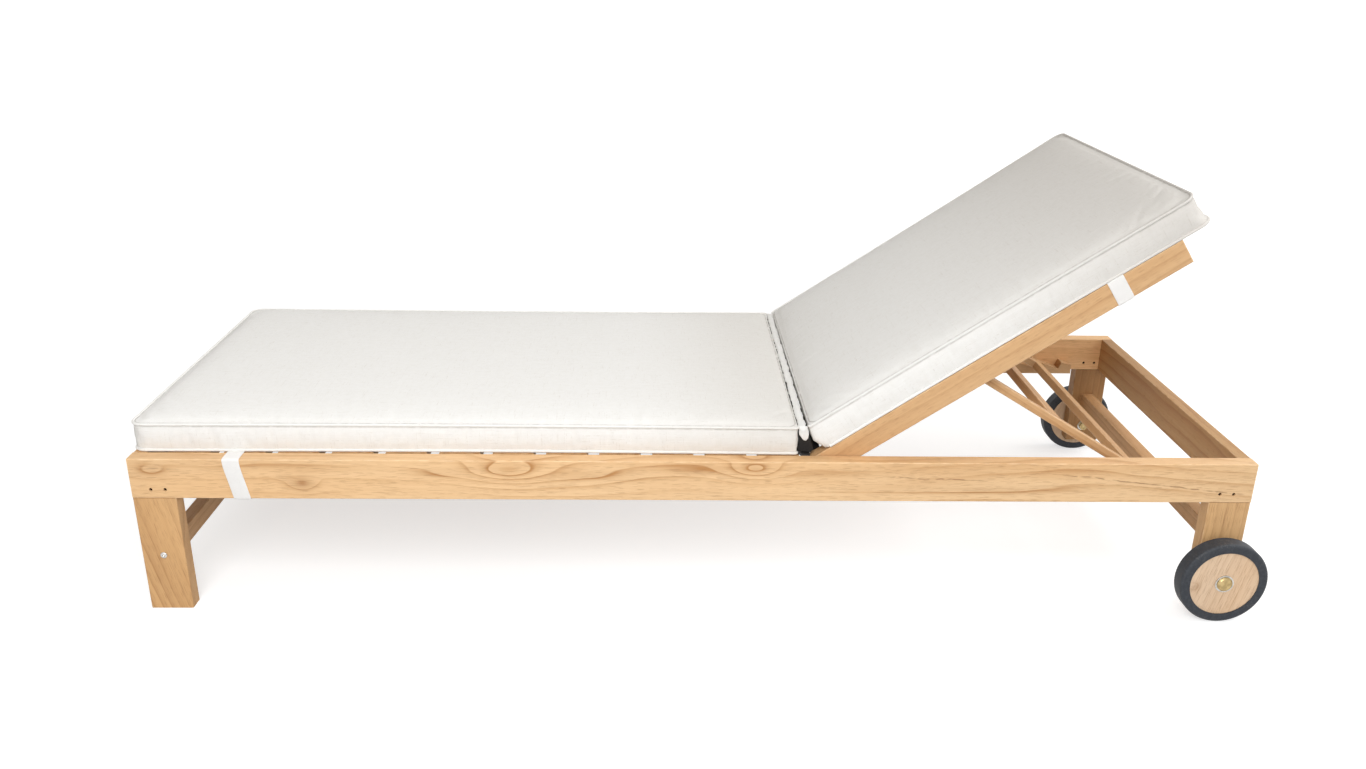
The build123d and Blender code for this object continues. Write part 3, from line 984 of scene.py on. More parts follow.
@dataclass(frozen=True)
class Teak:
    """Oiled teak, with growth rings, streaks, pores and rubbed edges."""

    light: Colour = (0.78, 0.53, 0.295)
    dark: Colour = (0.47, 0.235, 0.085)
    knot: Colour = (0.26, 0.12, 0.05)
    rubbed: Colour = (0.90, 0.69, 0.45)
    ring_width: float = 0.025
    wander: float = 3.2
    contrast: float = 0.62
    edge: float = 0.0030
    check_share: float = 0.75
    rubbed_share: float = 0.45
    specular: float = 0.35
    depth: float = 0.00022

    def material(
        self,
        obj: bpy.types.Object,
        grain: Grain,
        seed: float,
        figures: Iterable[Figure] = (),
        checks: Iterable[Check] = (),
    ) -> bpy.types.Material:
        """Material for one timber.

        Args:
            obj: The timber, whose own box centres the pattern.
            grain: The way its grain runs.
            seed: What sets it apart from the other timbers.
            figures: Eyes and knots in it.
            checks: Hairlines in it.

        Returns:
            The material.
        """
        turn = grain.turn()
        middle, half = own_box(obj, turn)
        material, board, shader = new_material(f"teak_{obj.name}")
        place, normal = own_place(board, middle, turn)
        rings, brown, focus = None, None, None
        for figure in figures:
            drawn = board.group(
                grain_figure(),
                Vector=place,
                Middle=figure.middle,
                Reach=figure.reach,
                Rings=figure.rings,
            )
            rings = (
                board.math("ADD", rings, drawn.outputs["Rings"])
                if rings
                else drawn.outputs["Rings"]
            )
            mask = drawn.outputs["Mask"]
            focus = board.math("MAXIMUM", focus, mask) if focus else mask
            if figure.brown:
                stain = board.math("MULTIPLY", mask, figure.brown)
                brown = board.math("MAXIMUM", brown, stain) if brown else stain
        along, _, _ = board.parts(board.vector("ABSOLUTE", normal))
        wood = board.group(
            teak_grain(),
            Vector=place,
            Seed=seed,
            Rings=rings,
            Focus=focus,
            Ring_Width=self.ring_width,
            Wander=self.wander,
            Contrast=self.contrast,
            Light=self.light,
            Dark=self.dark,
            End=board.span(along, 0.75, 0.9),
        )
        colour = wood.outputs["Color"]
        if brown:
            colour = board.mix(brown, colour, self.knot)
        for check in checks:
            line = board.group(
                drying_check(),
                Vector=place,
                Start=check.start,
                End=check.end,
                Level=check.level,
                Slope=check.slope,
            )
            colour = board.mix(
                board.math("MULTIPLY", line.outputs["Mask"], self.check_share),
                colour,
                self.knot,
            )
        rub = board.group(edge_wear(), Vector=place, Half=tuple(half), Width=self.edge)
        colour = board.mix(
            board.math("MULTIPLY", rub.outputs["Mask"], self.rubbed_share),
            colour,
            self.rubbed,
        )
        board.feed(shader.inputs["Base Color"], colour)
        board.feed(shader.inputs["Roughness"], wood.outputs["Roughness"])
        shader.inputs["Specular IOR Level"].default_value = self.specular
        add_relief(board, shader, wood.outputs["Height"], self.depth)
        return material


@dataclass(frozen=True)
class Seam:
    """Where a boxed pad's upper seam runs, in the pad's own frame."""

    half: Point
    corner: float
    draw: float
    level: float
    slope: float


@dataclass(frozen=True)
class ShadeRamp:
    """Painted shade that darkens a pad's cloth along its X: where it starts, where it ends,
    its tint.
    """

    start: float
    end: float
    tint: Colour


@dataclass(frozen=True)
class Cloth:
    """Woven outdoor cloth with slub yarns, which lies flat on each side of its piece."""

    name: str
    base: Colour = (0.885, 0.873, 0.848)
    slub: Colour = (0.62, 0.57, 0.50)
    pale: Colour = (0.92, 0.91, 0.89)
    shade: Colour = (0.84, 0.825, 0.79)
    # Colour of the painted shade in the weave's valleys
    valley_shade_colour: Colour = (0.74, 0.70, 0.64)
    # Colour of the painted shadow beside the piping
    seam_shadow_colour: Colour = (0.36, 0.33, 0.29)
    thread: float = 0.0011
    slub_share: float = 0.42
    mottle_share: float = 0.5
    pale_share: float = 0.7
    valley_shade_share: float = 0.2
    seam_shadow_share: float = 0.6
    sheen: float = 0.12
    sheen_roughness: float = 0.6
    specular: float = 0.2
    depth: float = 0.00022

    def material(
        self,
        name: str,
        place: Matrix,
        seam: Seam | None = None,
        shade_ramp: ShadeRamp | None = None,
    ) -> bpy.types.Material:
        """Material for one piece of cloth.

        Args:
            name: The piece's name.
            place: The piece's own frame in the row frame.
            seam: The seam beside whose piping shadow is painted, if it has one.
            shade_ramp: Painted shade along it, if it has any.

        Returns:
            The material.
        """
        material, board, shader = new_material(f"{self.name}_{name}")
        spot, normal = own_place(board, place.to_translation(), place.to_3x3())
        cloth = board.group(plain_weave(), Vector=spot, Normal=normal, Thread=self.thread)
        patch = board.span(cloth.outputs["Mottle"], 0.35, 0.68)
        patch = board.math("MULTIPLY", patch, self.mottle_share)
        colour = board.mix(patch, self.base, self.shade)
        pale = board.math("MULTIPLY", cloth.outputs["Pale Slub"], self.pale_share)
        colour = board.mix(pale, colour, self.pale)
        dark = board.math("MULTIPLY", cloth.outputs["Dark Slub"], self.slub_share)
        colour = board.mix(dark, colour, self.slub)
        # Painted shade in the valleys between the threads
        valley_shade = board.math("SUBTRACT", 1.0, cloth.outputs["Height"], clamp=True)
        valley_shade = board.math("MULTIPLY", valley_shade, self.valley_shade_share)
        colour = board.mix(valley_shade, colour, self.valley_shade_colour, "MULTIPLY")
        # Painted shadow in thin lines beside the piping
        if seam:
            seam_shadowed = board.group(
                seam_shadow(),
                Vector=spot,
                Normal=normal,
                Half=seam.half,
                Corner=seam.corner,
                Draw=seam.draw,
                Level=seam.level,
                Slope=seam.slope,
            )
            share = board.math("MULTIPLY", seam_shadowed.outputs["Mask"], self.seam_shadow_share)
            colour = board.mix(share, colour, self.seam_shadow_colour)
        # Painted shade: the cloth darkens along the pad's X
        if shade_ramp:
            along, _, _ = board.parts(spot)
            ramp_share = board.span(along, shade_ramp.start, shade_ramp.end)
            colour = board.mix(ramp_share, colour, shade_ramp.tint, "MULTIPLY")
        board.feed(shader.inputs["Base Color"], colour)
        rough = board.math("MULTIPLY_ADD", cloth.outputs["Mottle"], 0.12, 0.82)
        board.feed(shader.inputs["Roughness"], rough)
        shader.inputs["Sheen Weight"].default_value = self.sheen
        shader.inputs["Sheen Roughness"].default_value = self.sheen_roughness
        shader.inputs["Specular IOR Level"].default_value = self.specular
        add_relief(board, shader, cloth.outputs["Height"], self.depth)
        return material


@dataclass(frozen=True)
class Metal:
    """Handled metal with rub marks and dull patches."""

    name: str
    colour: Colour
    dull: Colour
    roughness: float
    dull_share: float = 0.65
    depth: float = 0.00002

    def material(self, name: str) -> bpy.types.Material:
        """Material for one metal piece.

        Args:
            name: The piece's name.

        Returns:
            The material.
        """
        material, board, shader = new_material(f"{self.name}_{name}")
        place, _ = own_place(board, Vector((0, 0, 0)), Matrix.Identity(3))
        worn = board.group(rubbed_metal(), Vector=place)
        colour = board.mix(
            board.math("MULTIPLY", worn.outputs["Dull"], self.dull_share),
            self.colour,
            self.dull,
        )
        board.feed(shader.inputs["Base Color"], colour)
        rough = board.math("MULTIPLY_ADD", worn.outputs["Rub"], 0.16, self.roughness - 0.06)
        rough = board.math("MULTIPLY_ADD", worn.outputs["Dull"], 0.14, rough)
        board.feed(shader.inputs["Roughness"], rough)
        shader.inputs["Metallic"].default_value = 1.0
        add_relief(board, shader, worn.outputs["Rub"], self.depth)
        return material


@dataclass(frozen=True)
class Rubber:
    """Matte blue-grey tyre rubber with moulding rings, scuffs and dust."""

    colour: Colour = (0.022, 0.026, 0.034)
    worn: Colour = (0.052, 0.057, 0.066)
    dust: Colour = (0.22, 0.20, 0.18)
    tread_start: float = 0.0735
    tread_end: float = 0.079
    ring_pitch: float = 0.0021
    specular: float = 0.35
    depth: float = 0.00012

    def material(self, name: str) -> bpy.types.Material:
        """Material for one tyre.

        Args:
            name: The piece's name.

        Returns:
            The material.
        """
        material, board, shader = new_material(f"rubber_{name}")
        place, _ = own_place(board, AXLE, Matrix.Identity(3))
        x, y, z = board.parts(place)
        radius = board.vector("LENGTH", board.whole(x, 0.0, z))
        dust = board.group(settled_dust(), Vector=place)
        tread = board.span(radius, self.tread_start, self.tread_end)
        scuff = board.noise(place, (170.0, 60.0, 170.0), 3.0, 0.6)
        worn = board.math("MULTIPLY", board.span(scuff, 0.42, 0.66), 0.55)
        worn = board.math("MULTIPLY_ADD", tread, 0.35, worn, clamp=True)
        colour = board.mix(worn, self.colour, self.worn)
        share = board.math("MULTIPLY_ADD", tread, 0.22, 0.14)
        colour = board.mix(
            board.math("MULTIPLY", dust.outputs["Mask"], share), colour, self.dust
        )
        board.feed(shader.inputs["Base Color"], colour)
        rough = board.math("MULTIPLY_ADD", scuff, 0.2, 0.42)
        board.feed(shader.inputs["Roughness"], board.math("MULTIPLY_ADD", worn, 0.15, rough))
        rings = board.math("MULTIPLY", radius, 2.0 * math.pi / self.ring_pitch)
        rings = board.math("SINE", rings)
        shader.inputs["Specular IOR Level"].default_value = self.specular
        speck = board.noise(place, (900.0, 900.0, 900.0), 1.0)
        height = board.math("MULTIPLY_ADD", rings, 0.12, speck)
        add_relief(board, shader, height, self.depth)
        return material


@dataclass(frozen=True)
class Finishes:
    """Every finish of the lounger."""

    rail: Teak = Teak(contrast=0.52)
    # Lighter than the plain rail finish: painted light on the far rail's shaded inner face
    lit_far_rail: Teak = Teak(light=(0.93, 0.60, 0.315), dark=(0.52, 0.26, 0.095))
    # Darker teak: painted shade on the head end rail's inner face
    shaded_head_rail: Teak = Teak(light=(0.50, 0.305, 0.14), dark=(0.34, 0.16, 0.058))
    leg: Teak = Teak(
        light=(0.665, 0.415, 0.20), dark=(0.38, 0.19, 0.074), ring_width=0.017, wander=3.0
    )
    # Darker teak: painted shade on the far wheel leg
    shaded_leg: Teak = Teak(
        light=(0.37, 0.195, 0.075), dark=(0.20, 0.09, 0.03), ring_width=0.015, wander=2.0
    )
    stile: Teak = Teak(light=(0.635, 0.405, 0.212), dark=(0.40, 0.20, 0.076), wander=2.2)
    # Darker teak for the cross timbers: painted shade where the pads shade them
    cross: Teak = Teak(
        light=(0.62, 0.375, 0.18), dark=(0.34, 0.165, 0.06), ring_width=0.015, wander=2.2
    )
    slat: Teak = Teak(
        light=(0.66, 0.41, 0.20), dark=(0.38, 0.19, 0.072), ring_width=0.015, wander=2.6
    )
    disc: Teak = Teak(
        light=(0.78, 0.59, 0.415),
        dark=(0.56, 0.37, 0.23),
        ring_width=0.013,
        wander=1.6,
        contrast=0.45,
        edge=0.0012,
    )
    cushion: Cloth = Cloth("oatmeal_weave")
    webbing: Cloth = Cloth(
        "white_webbing",
        base=(0.94, 0.925, 0.905),
        shade=(0.91, 0.89, 0.87),
        thread=0.0016,
        slub_share=0.12,
        depth=0.0004,
    )
    # Near-black cloth: painted shade for the dark slot between the pads
    painted_shade_cloth: Cloth = Cloth(
        "painted_shade_dark",
        base=(0.013, 0.0105, 0.0095),
        slub=(0.016, 0.013, 0.012),
        pale=(0.046, 0.038, 0.034),
        shade=(0.020, 0.016, 0.015),
        slub_share=0.3,
    )
    brass: Metal = Metal("brass", (0.52, 0.39, 0.19), (0.32, 0.235, 0.11), 0.34)
    steel: Metal = Metal("steel", (0.60, 0.59, 0.57), (0.38, 0.37, 0.35), 0.32)
    dark_pin: Metal = Metal("dark_pin", (0.05, 0.026, 0.015), (0.025, 0.012, 0.007), 0.6)
    rubber: Rubber = Rubber()


FINISH = Finishes()


# Studio


@dataclass
class Lamp:
    """A soft square lamp: its place, size, power in watts, tint and aim."""

    name: str
    place: Point
    size: float
    watts: float
    tint: Colour = WHITE
    aim: Point = (0.0, 0.0, 0.3)

    def hang(self) -> None:
        """Adds the lamp to the scene."""
        light = bpy.data.lights.new(self.name, "AREA")
        light.shape = "SQUARE"
        light.size = self.size
        light.energy = self.watts
        light.color = self.tint
        obj = bpy.data.objects.new(self.name, light)
        bpy.context.scene.collection.objects.link(obj)
        obj.location = self.place
        run = Vector(self.aim) - Vector(self.place)
        obj.rotation_euler = run.to_track_quat("-Z", "Y").to_euler()


@dataclass
class Studio:
    """The camera of the photograph, plain soft light and a pale floor."""

    eye: Point = (-0.0950, -2.1747, 1.1366)
    pitch: float = 20.88
    yaw: float = -1.42
    roll: float = 0.89
    lens: float = 29.734
    sensor: float = 36.0
    sight: float = 200.0
    floor_size: float = 90.0
    floor_level: float = -0.0004
    floor_grey: float = 0.55
    floor_glow: float = 0.62
    floor_fade: tuple[float, float] = (1.6, 4.5)
    world_level: float = 0.57
    world_lean: float = 0.42
    world_far: Colour = (1.0, 0.90, 0.76)
    lamps: tuple[Lamp, ...] = (
        Lamp("key", (-0.4, -2.6, 2.2), size=1.7, watts=77.0, tint=(0.97, 0.985, 1.0)),
        Lamp("overhead", (2.8, 0.2, 2.4), size=2.2, watts=40.0),
    )

    def build(self) -> None:
        """Camera, lamps, world and floor."""
        self._camera()
        for lamp in self.lamps:
            lamp.hang()
        self._world()
        self._floor()
        bpy.context.scene.view_settings.view_transform = "Standard"

    def _camera(self) -> None:
        """The photograph's camera."""
        data = bpy.data.cameras.new("camera")
        data.lens = self.lens
        data.sensor_width = self.sensor
        data.clip_end = self.sight
        camera = bpy.data.objects.new("camera", data)
        bpy.context.scene.collection.objects.link(camera)
        camera.matrix_world = (
            Matrix.Translation(self.eye)
            @ Matrix.Rotation(math.radians(self.yaw), 4, "Z")
            @ Matrix.Rotation(math.radians(90.0 - self.pitch), 4, "X")
            @ Matrix.Rotation(math.radians(self.roll), 4, "Z")
        )
        bpy.context.scene.camera = camera

    def _seen(self, board: Board) -> Socket:
        """1 for rays that show the backdrop: from the camera, a mirror or through glass.

        Args:
            board: The board to add the nodes to.

        Returns:
            The share that shows it.
        """
        path = board.node("ShaderNodeLightPath")
        seen = board.math(
            "MAXIMUM", path.outputs["Is Camera Ray"], path.outputs["Is Glossy Ray"]
        )
        return board.math("MAXIMUM", seen, path.outputs["Is Transmission Ray"])

    def _world(self) -> None:
        """Even light all round, which shows as white."""
        world = bpy.data.worlds.new("studio")
        bpy.context.scene.world = world
        world.use_nodes = True
        board = Board(world.node_tree)
        shader = next(n for n in world.node_tree.nodes if n.type == "BACKGROUND")
        incoming = board.node("ShaderNodeNewGeometry").outputs["Incoming"]
        heading, _, _ = board.parts(incoming)
        seen = self._seen(board)
        tint = board.mix(board.span(heading, -0.4, 1.0), WHITE, self.world_far)
        board.feed(shader.inputs["Color"], board.mix(seen, tint, WHITE))
        level = board.math("MULTIPLY_ADD", heading, -self.world_lean, self.world_level)
        level = board.blend(seen, level, 1.0)
        board.feed(shader.inputs["Strength"], level)

    def _floor(self) -> None:
        """Pale floor that keeps the lounger's shadow and fades to white around it."""
        deselect_all()
        bpy.ops.mesh.primitive_plane_add(
            size=self.floor_size, location=(0, 0, self.floor_level)
        )
        floor = bpy.context.active_object
        floor.name = "floor"
        settle(floor)
        material = bpy.data.materials.new("pale_floor")
        material.use_nodes = True
        board = Board(material.node_tree)
        for node in list(board.tree.nodes):
            board.tree.nodes.remove(node)
        diffuse = board.node("ShaderNodeBsdfDiffuse")
        board.feed(diffuse.inputs["Color"], (self.floor_grey,) * 3)
        glow = board.node("ShaderNodeEmission")
        place = board.node("ShaderNodeTexCoord").outputs["Object"]
        away = board.span(board.vector("LENGTH", place), *self.floor_fade)
        level = board.blend(away, self.floor_glow, 1.0)
        board.feed(glow.inputs["Strength"], board.math("MULTIPLY", level, self._seen(board)))
        both = board.node("ShaderNodeAddShader")
        board.feed(both.inputs[0], diffuse.outputs[0])
        board.feed(both.inputs[1], glow.outputs[0])
        output = board.node("ShaderNodeOutputMaterial")
        board.feed(output.inputs["Surface"], both.outputs[0])
        wear(floor, material)


# The lounger's sub-assemblies


def dress_timber(
    node: str,
    teak: Teak,
    grain: Grain,
    seed: float,
    figures: Iterable[Figure] = (),
    checks: Iterable[Check] = (),
) -> None:
    """Gives a CAD timber its material.

    Args:
        node: The timber's CAD node.
        teak: Its finish.
        grain: The way its grain runs.
        seed: What sets it apart from the other timbers.
        figures: Eyes and knots in it.
        checks: Hairlines in it.
    """
    obj = frame["nodes"][node]
    wear(obj, teak.material(obj, grain, seed, figures, checks))


def report(piece: str, detail: str) -> None:
    """Logs one finished piece."""
    LOG.info("%s: %s", piece, detail)


@dataclass
class RailFrame:
    """Side rails, end rails, legs, stretchers, ratchets and their fastenings."""

    near_rail_figures: tuple[Figure, ...] = (
        Figure((-0.338, -0.015, 0.019), (0.074, 0.08, 0.027), 2.2, 0.0),
        Figure((-0.338, -0.015, 0.018), (0.034, 0.08, 0.010), 0.5, 0.07),
        Figure((0.101, -0.015, 0.024), (0.054, 0.08, 0.022), 1.9, 0.0),
        Figure((0.101, -0.015, 0.025), (0.024, 0.08, 0.009), 0.4, 0.09),
        Figure((-0.455, -0.015, 0.012), (0.060, 0.08, 0.010), 0.3, 0.10),
        Figure((-0.190, -0.015, 0.010), (0.075, 0.08, 0.011), 0.4, 0.11),
        Figure((-0.010, -0.015, 0.020), (0.050, 0.08, 0.009), 0.3, 0.10),
        Figure((0.220, -0.015, 0.012), (0.070, 0.08, 0.010), 0.3, 0.08),
        Figure((-0.699, -0.015, -0.009), (0.026, 0.08, 0.015), 1.3, 0.30),
        Figure((-0.724, -0.015, 0.004), (0.022, 0.08, 0.006), 0.3, 0.16),
        Figure((-0.962, -0.015, 0.014), (0.032, 0.08, 0.013), 0.8, 0.13),
        Figure((0.500, -0.015, -0.014), (0.170, 0.08, 0.010), 0.5, 0.12),
    )
    near_rail_checks: tuple[Check, ...] = (
        Check(0.640, 0.995, 0.018, -0.115),
        Check(0.330, 0.520, 0.010, -0.030),
        Check(-0.980, -0.905, 0.022, -0.060),
    )
    bolt_middles: Outline = ((-0.982, 0.110), (0.942, 0.1435))
    bolt_face: float = 0.365
    bolt_sides: int = 36
    bolt_profile: Outline = (
        (0.0029, -0.0700),
        (0.0030, -0.0695),
        (0.0030, 0.0000),
        (0.0060, 0.0000),
        (0.0062, 0.0004),
        (0.0061, 0.0011),
        (0.0054, 0.0019),
        (0.0043, 0.0024),
        (0.0034, 0.0026),
    )
    socket_radius: float = 0.0029
    socket_depth: float = 0.0042
    socket_middle: float = 0.0026

    def build(self) -> None:
        """Dresses the timbers and models the leg bolts."""
        # The cross timbers' finish is darkened: painted shade
        rail, leg, cross = FINISH.rail, FINISH.leg, FINISH.cross
        dress_timber(
            "near_side_rail",
            rail,
            Grain.LENGTHWISE,
            1.0,
            self.near_rail_figures,
            self.near_rail_checks,
        )
        # Far side rail: painted light in its finish
        dress_timber("far_side_rail", FINISH.lit_far_rail, Grain.LENGTHWISE, 7.3)
        dress_timber("foot_end_rail", cross, Grain.ACROSS, 2.1)
        # Head end rail: painted shade in its finish
        dress_timber("head_end_rail", FINISH.shaded_head_rail, Grain.ACROSS, 3.4)
        dress_timber("near_foot_leg", leg, Grain.SLANTED, 4.0)
        dress_timber("far_foot_leg", leg, Grain.UPRIGHT, 5.7)
        dress_timber("near_wheel_leg", leg, Grain.UPRIGHT, 7.4)
        # Far wheel leg: painted shade in its finish
        dress_timber("far_wheel_leg", FINISH.shaded_leg, Grain.UPRIGHT, 9.1)
        for index, name in enumerate(("foot_stretcher", "wheel_stretcher", "hinge_bearer")):
            dress_timber(name, cross, Grain.ACROSS, 12.0 + 1.3 * index)
        for index, name in enumerate(("near_ratchet", "far_ratchet", "seat_cleats")):
            dress_timber(name, FINISH.stile, Grain.LENGTHWISE, 17.0 + 1.9 * index)
        report("rail frame", "rails, legs, stretchers and ratchets dressed")
        for name, metal in (
            ("stretcher_nuts", FINISH.steel),
            ("seat_screws", FINISH.steel),
            ("backrest_pivots", FINISH.steel),
            ("leg_pins", FINISH.dark_pin),
        ):
            wear(frame["nodes"][name], metal.material(name))
        self._leg_bolts()

    def _leg_bolts(self) -> None:
        """Domed socket bolts that hold the stretchers to the legs."""
        bolts = [
            self._leg_bolt(Vector((x, side * self.bolt_face, z)), side)
            for x, z in self.bolt_middles
            for side in SIDES
        ]
        bolt = joined(bolts, "leg_bolts")
        wear(bolt, FINISH.steel.material("leg_bolts"))
        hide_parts("stretcher_bolts")
        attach(bolt, "frame")
        report("leg_bolts", "four domed bolts with hexagonal sockets")

    def _leg_bolt(self, seat: Vector, side: float) -> bpy.types.Object:
        """One bolt, with its shank into the leg and its head outside.

        Args:
            seat: The middle of the head's seat on the leg.
            side: -1 for the near side and 1 for the far one.

        Returns:
            The bolt in its place.
        """
        bolt = turned_piece("leg_bolt", self.bolt_profile, self.bolt_sides)
        deselect_all()
        bpy.ops.mesh.primitive_cylinder_add(
            vertices=6,
            radius=self.socket_radius,
            depth=self.socket_depth,
            location=(0, 0, self.socket_middle),
        )
        socket = bpy.context.active_object
        cut = bolt.modifiers.new("socket", "BOOLEAN")
        cut.operation = "DIFFERENCE"
        cut.solver = "EXACT"
        cut.object = socket
        apply_modifiers(bolt)
        bpy.data.objects.remove(socket)
        soften_shading(bolt, 35.0)
        settle(bolt, outward(seat, side))
        return bolt


@dataclass
class SeatDeck:
    """The seat's slats."""

    count: int = 12

    def build(self) -> None:
        """Dresses each slat."""
        for index in range(1, self.count + 1):
            name = f"seat_slat_{index:02d}"
            dress_timber(name, FINISH.slat, Grain.ACROSS, 20.0 + 0.83 * index)
        report("seat deck", f"{self.count} slats dressed")


@dataclass
class Backrest:
    """The reclining back: stiles, rails, slats, cleats and prop pins."""

    slats: int = 7

    def build(self) -> None:
        """Dresses the timbers and metal."""
        dress_timber("near_stile", FINISH.stile, Grain.BACK, 31.0)
        dress_timber("far_stile", FINISH.stile, Grain.BACK, 33.7)
        dress_timber("back_cleats", FINISH.stile, Grain.BACK, 35.1)
        # Back rails take the cross timbers' darker finish: painted shade
        dress_timber("back_lower_rail", FINISH.cross, Grain.BACK_ACROSS, 36.9)
        dress_timber("back_upper_rail", FINISH.cross, Grain.BACK_ACROSS, 38.2)
        for index in range(1, self.slats + 1):
            name = f"back_slat_{index:02d}"
            dress_timber(name, FINISH.slat, Grain.BACK_ACROSS, 40.0 + 0.91 * index)
        wear(frame["nodes"]["back_screws"], FINISH.steel.material("back_screws"))
        wear(frame["nodes"]["prop_pins"], FINISH.steel.material("prop_pins"))
        report("backrest", "stiles, rails and slats dressed")


@dataclass
class PropFrame:
    """The prop that holds the back up."""

    def build(self) -> None:
        """Dresses the arms and bars."""
        dress_timber("near_prop_arm", FINISH.stile, Grain.PROP, 51.0)
        dress_timber("far_prop_arm", FINISH.stile, Grain.PROP, 52.6)
        # Prop bars take the cross timbers' darker finish: painted shade
        dress_timber("prop_cross_bar", FINISH.cross, Grain.PROP_ACROSS, 54.1)
        dress_timber("prop_foot_bar", FINISH.cross, Grain.PROP_ACROSS, 55.8)
        report("prop frame", "arms and bars dressed")


@dataclass
class Wheels:
    """Tyres, wooden discs, and the capped axle bolts with their washers and nuts."""

    knot: Figure = Figure((-0.019, 0.0, 0.047), (0.010, 0.03, 0.008), 1.6, 0.45)
    cap_face: float = 0.4059
    bolt_end: float = 0.3254
    bolt_tip: float = 0.0044
    bolt_chamfer: float = 0.0008
    bolt_radius: float = 0.0050
    bolt_sides: int = 56
    cap_profile: Outline = (
        (0.0136, 0.0000),
        (0.0140, 0.0004),
        (0.0140, 0.0014),
        (0.0136, 0.0018),
        (0.0127, 0.0020),
        (0.0124, 0.0024),
        (0.0119, 0.0033),
        (0.0104, 0.0040),
        (0.0076, 0.0044),
        (0.0040, 0.0045),
    )

    def build(self) -> None:
        """Dresses the wheels and models the axle bolts."""
        dress_timber("near_wheel_disc", FINISH.disc, Grain.LEANING, 61.0, (self.knot,))
        dress_timber("far_wheel_disc", FINISH.disc, Grain.LEANING, 62.9)
        for name in ("near_tyre", "far_tyre"):
            wear(frame["nodes"][name], FINISH.rubber.material(name))
        wear(frame["nodes"]["axle_washers"], FINISH.steel.material("axle_washers"))
        wear(frame["nodes"]["axle_nuts"], FINISH.brass.material("axle_nuts"))
        report("wheels", "tyres, discs, washers and nuts dressed")
        self._axle_bolts()

    def _axle_bolts(self) -> None:
        """Brass axle bolts with domed, rimmed caps."""
        reach = self.cap_face - self.bolt_end
        profile = (
            (self.bolt_tip, -reach),
            (self.bolt_radius, -reach + self.bolt_chamfer),
            (self.bolt_radius, 0.0),
            *self.cap_profile,
        )
        bolts = []
        for side in SIDES:
            bolt = turned_piece("axle_bolt", profile, self.bolt_sides)
            soften_shading(bolt, 50.0)
            settle(bolt, outward(Vector((AXLE.x, side * self.cap_face, AXLE.z)), side))
            bolts.append(bolt)
        bolt = joined(bolts, "capped_axle_bolts")
        wear(bolt, FINISH.brass.material("capped_axle_bolts"))
        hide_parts("axle_bolts")
        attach(bolt, "frame")
        report("capped_axle_bolts", "two brass bolts with domed caps")


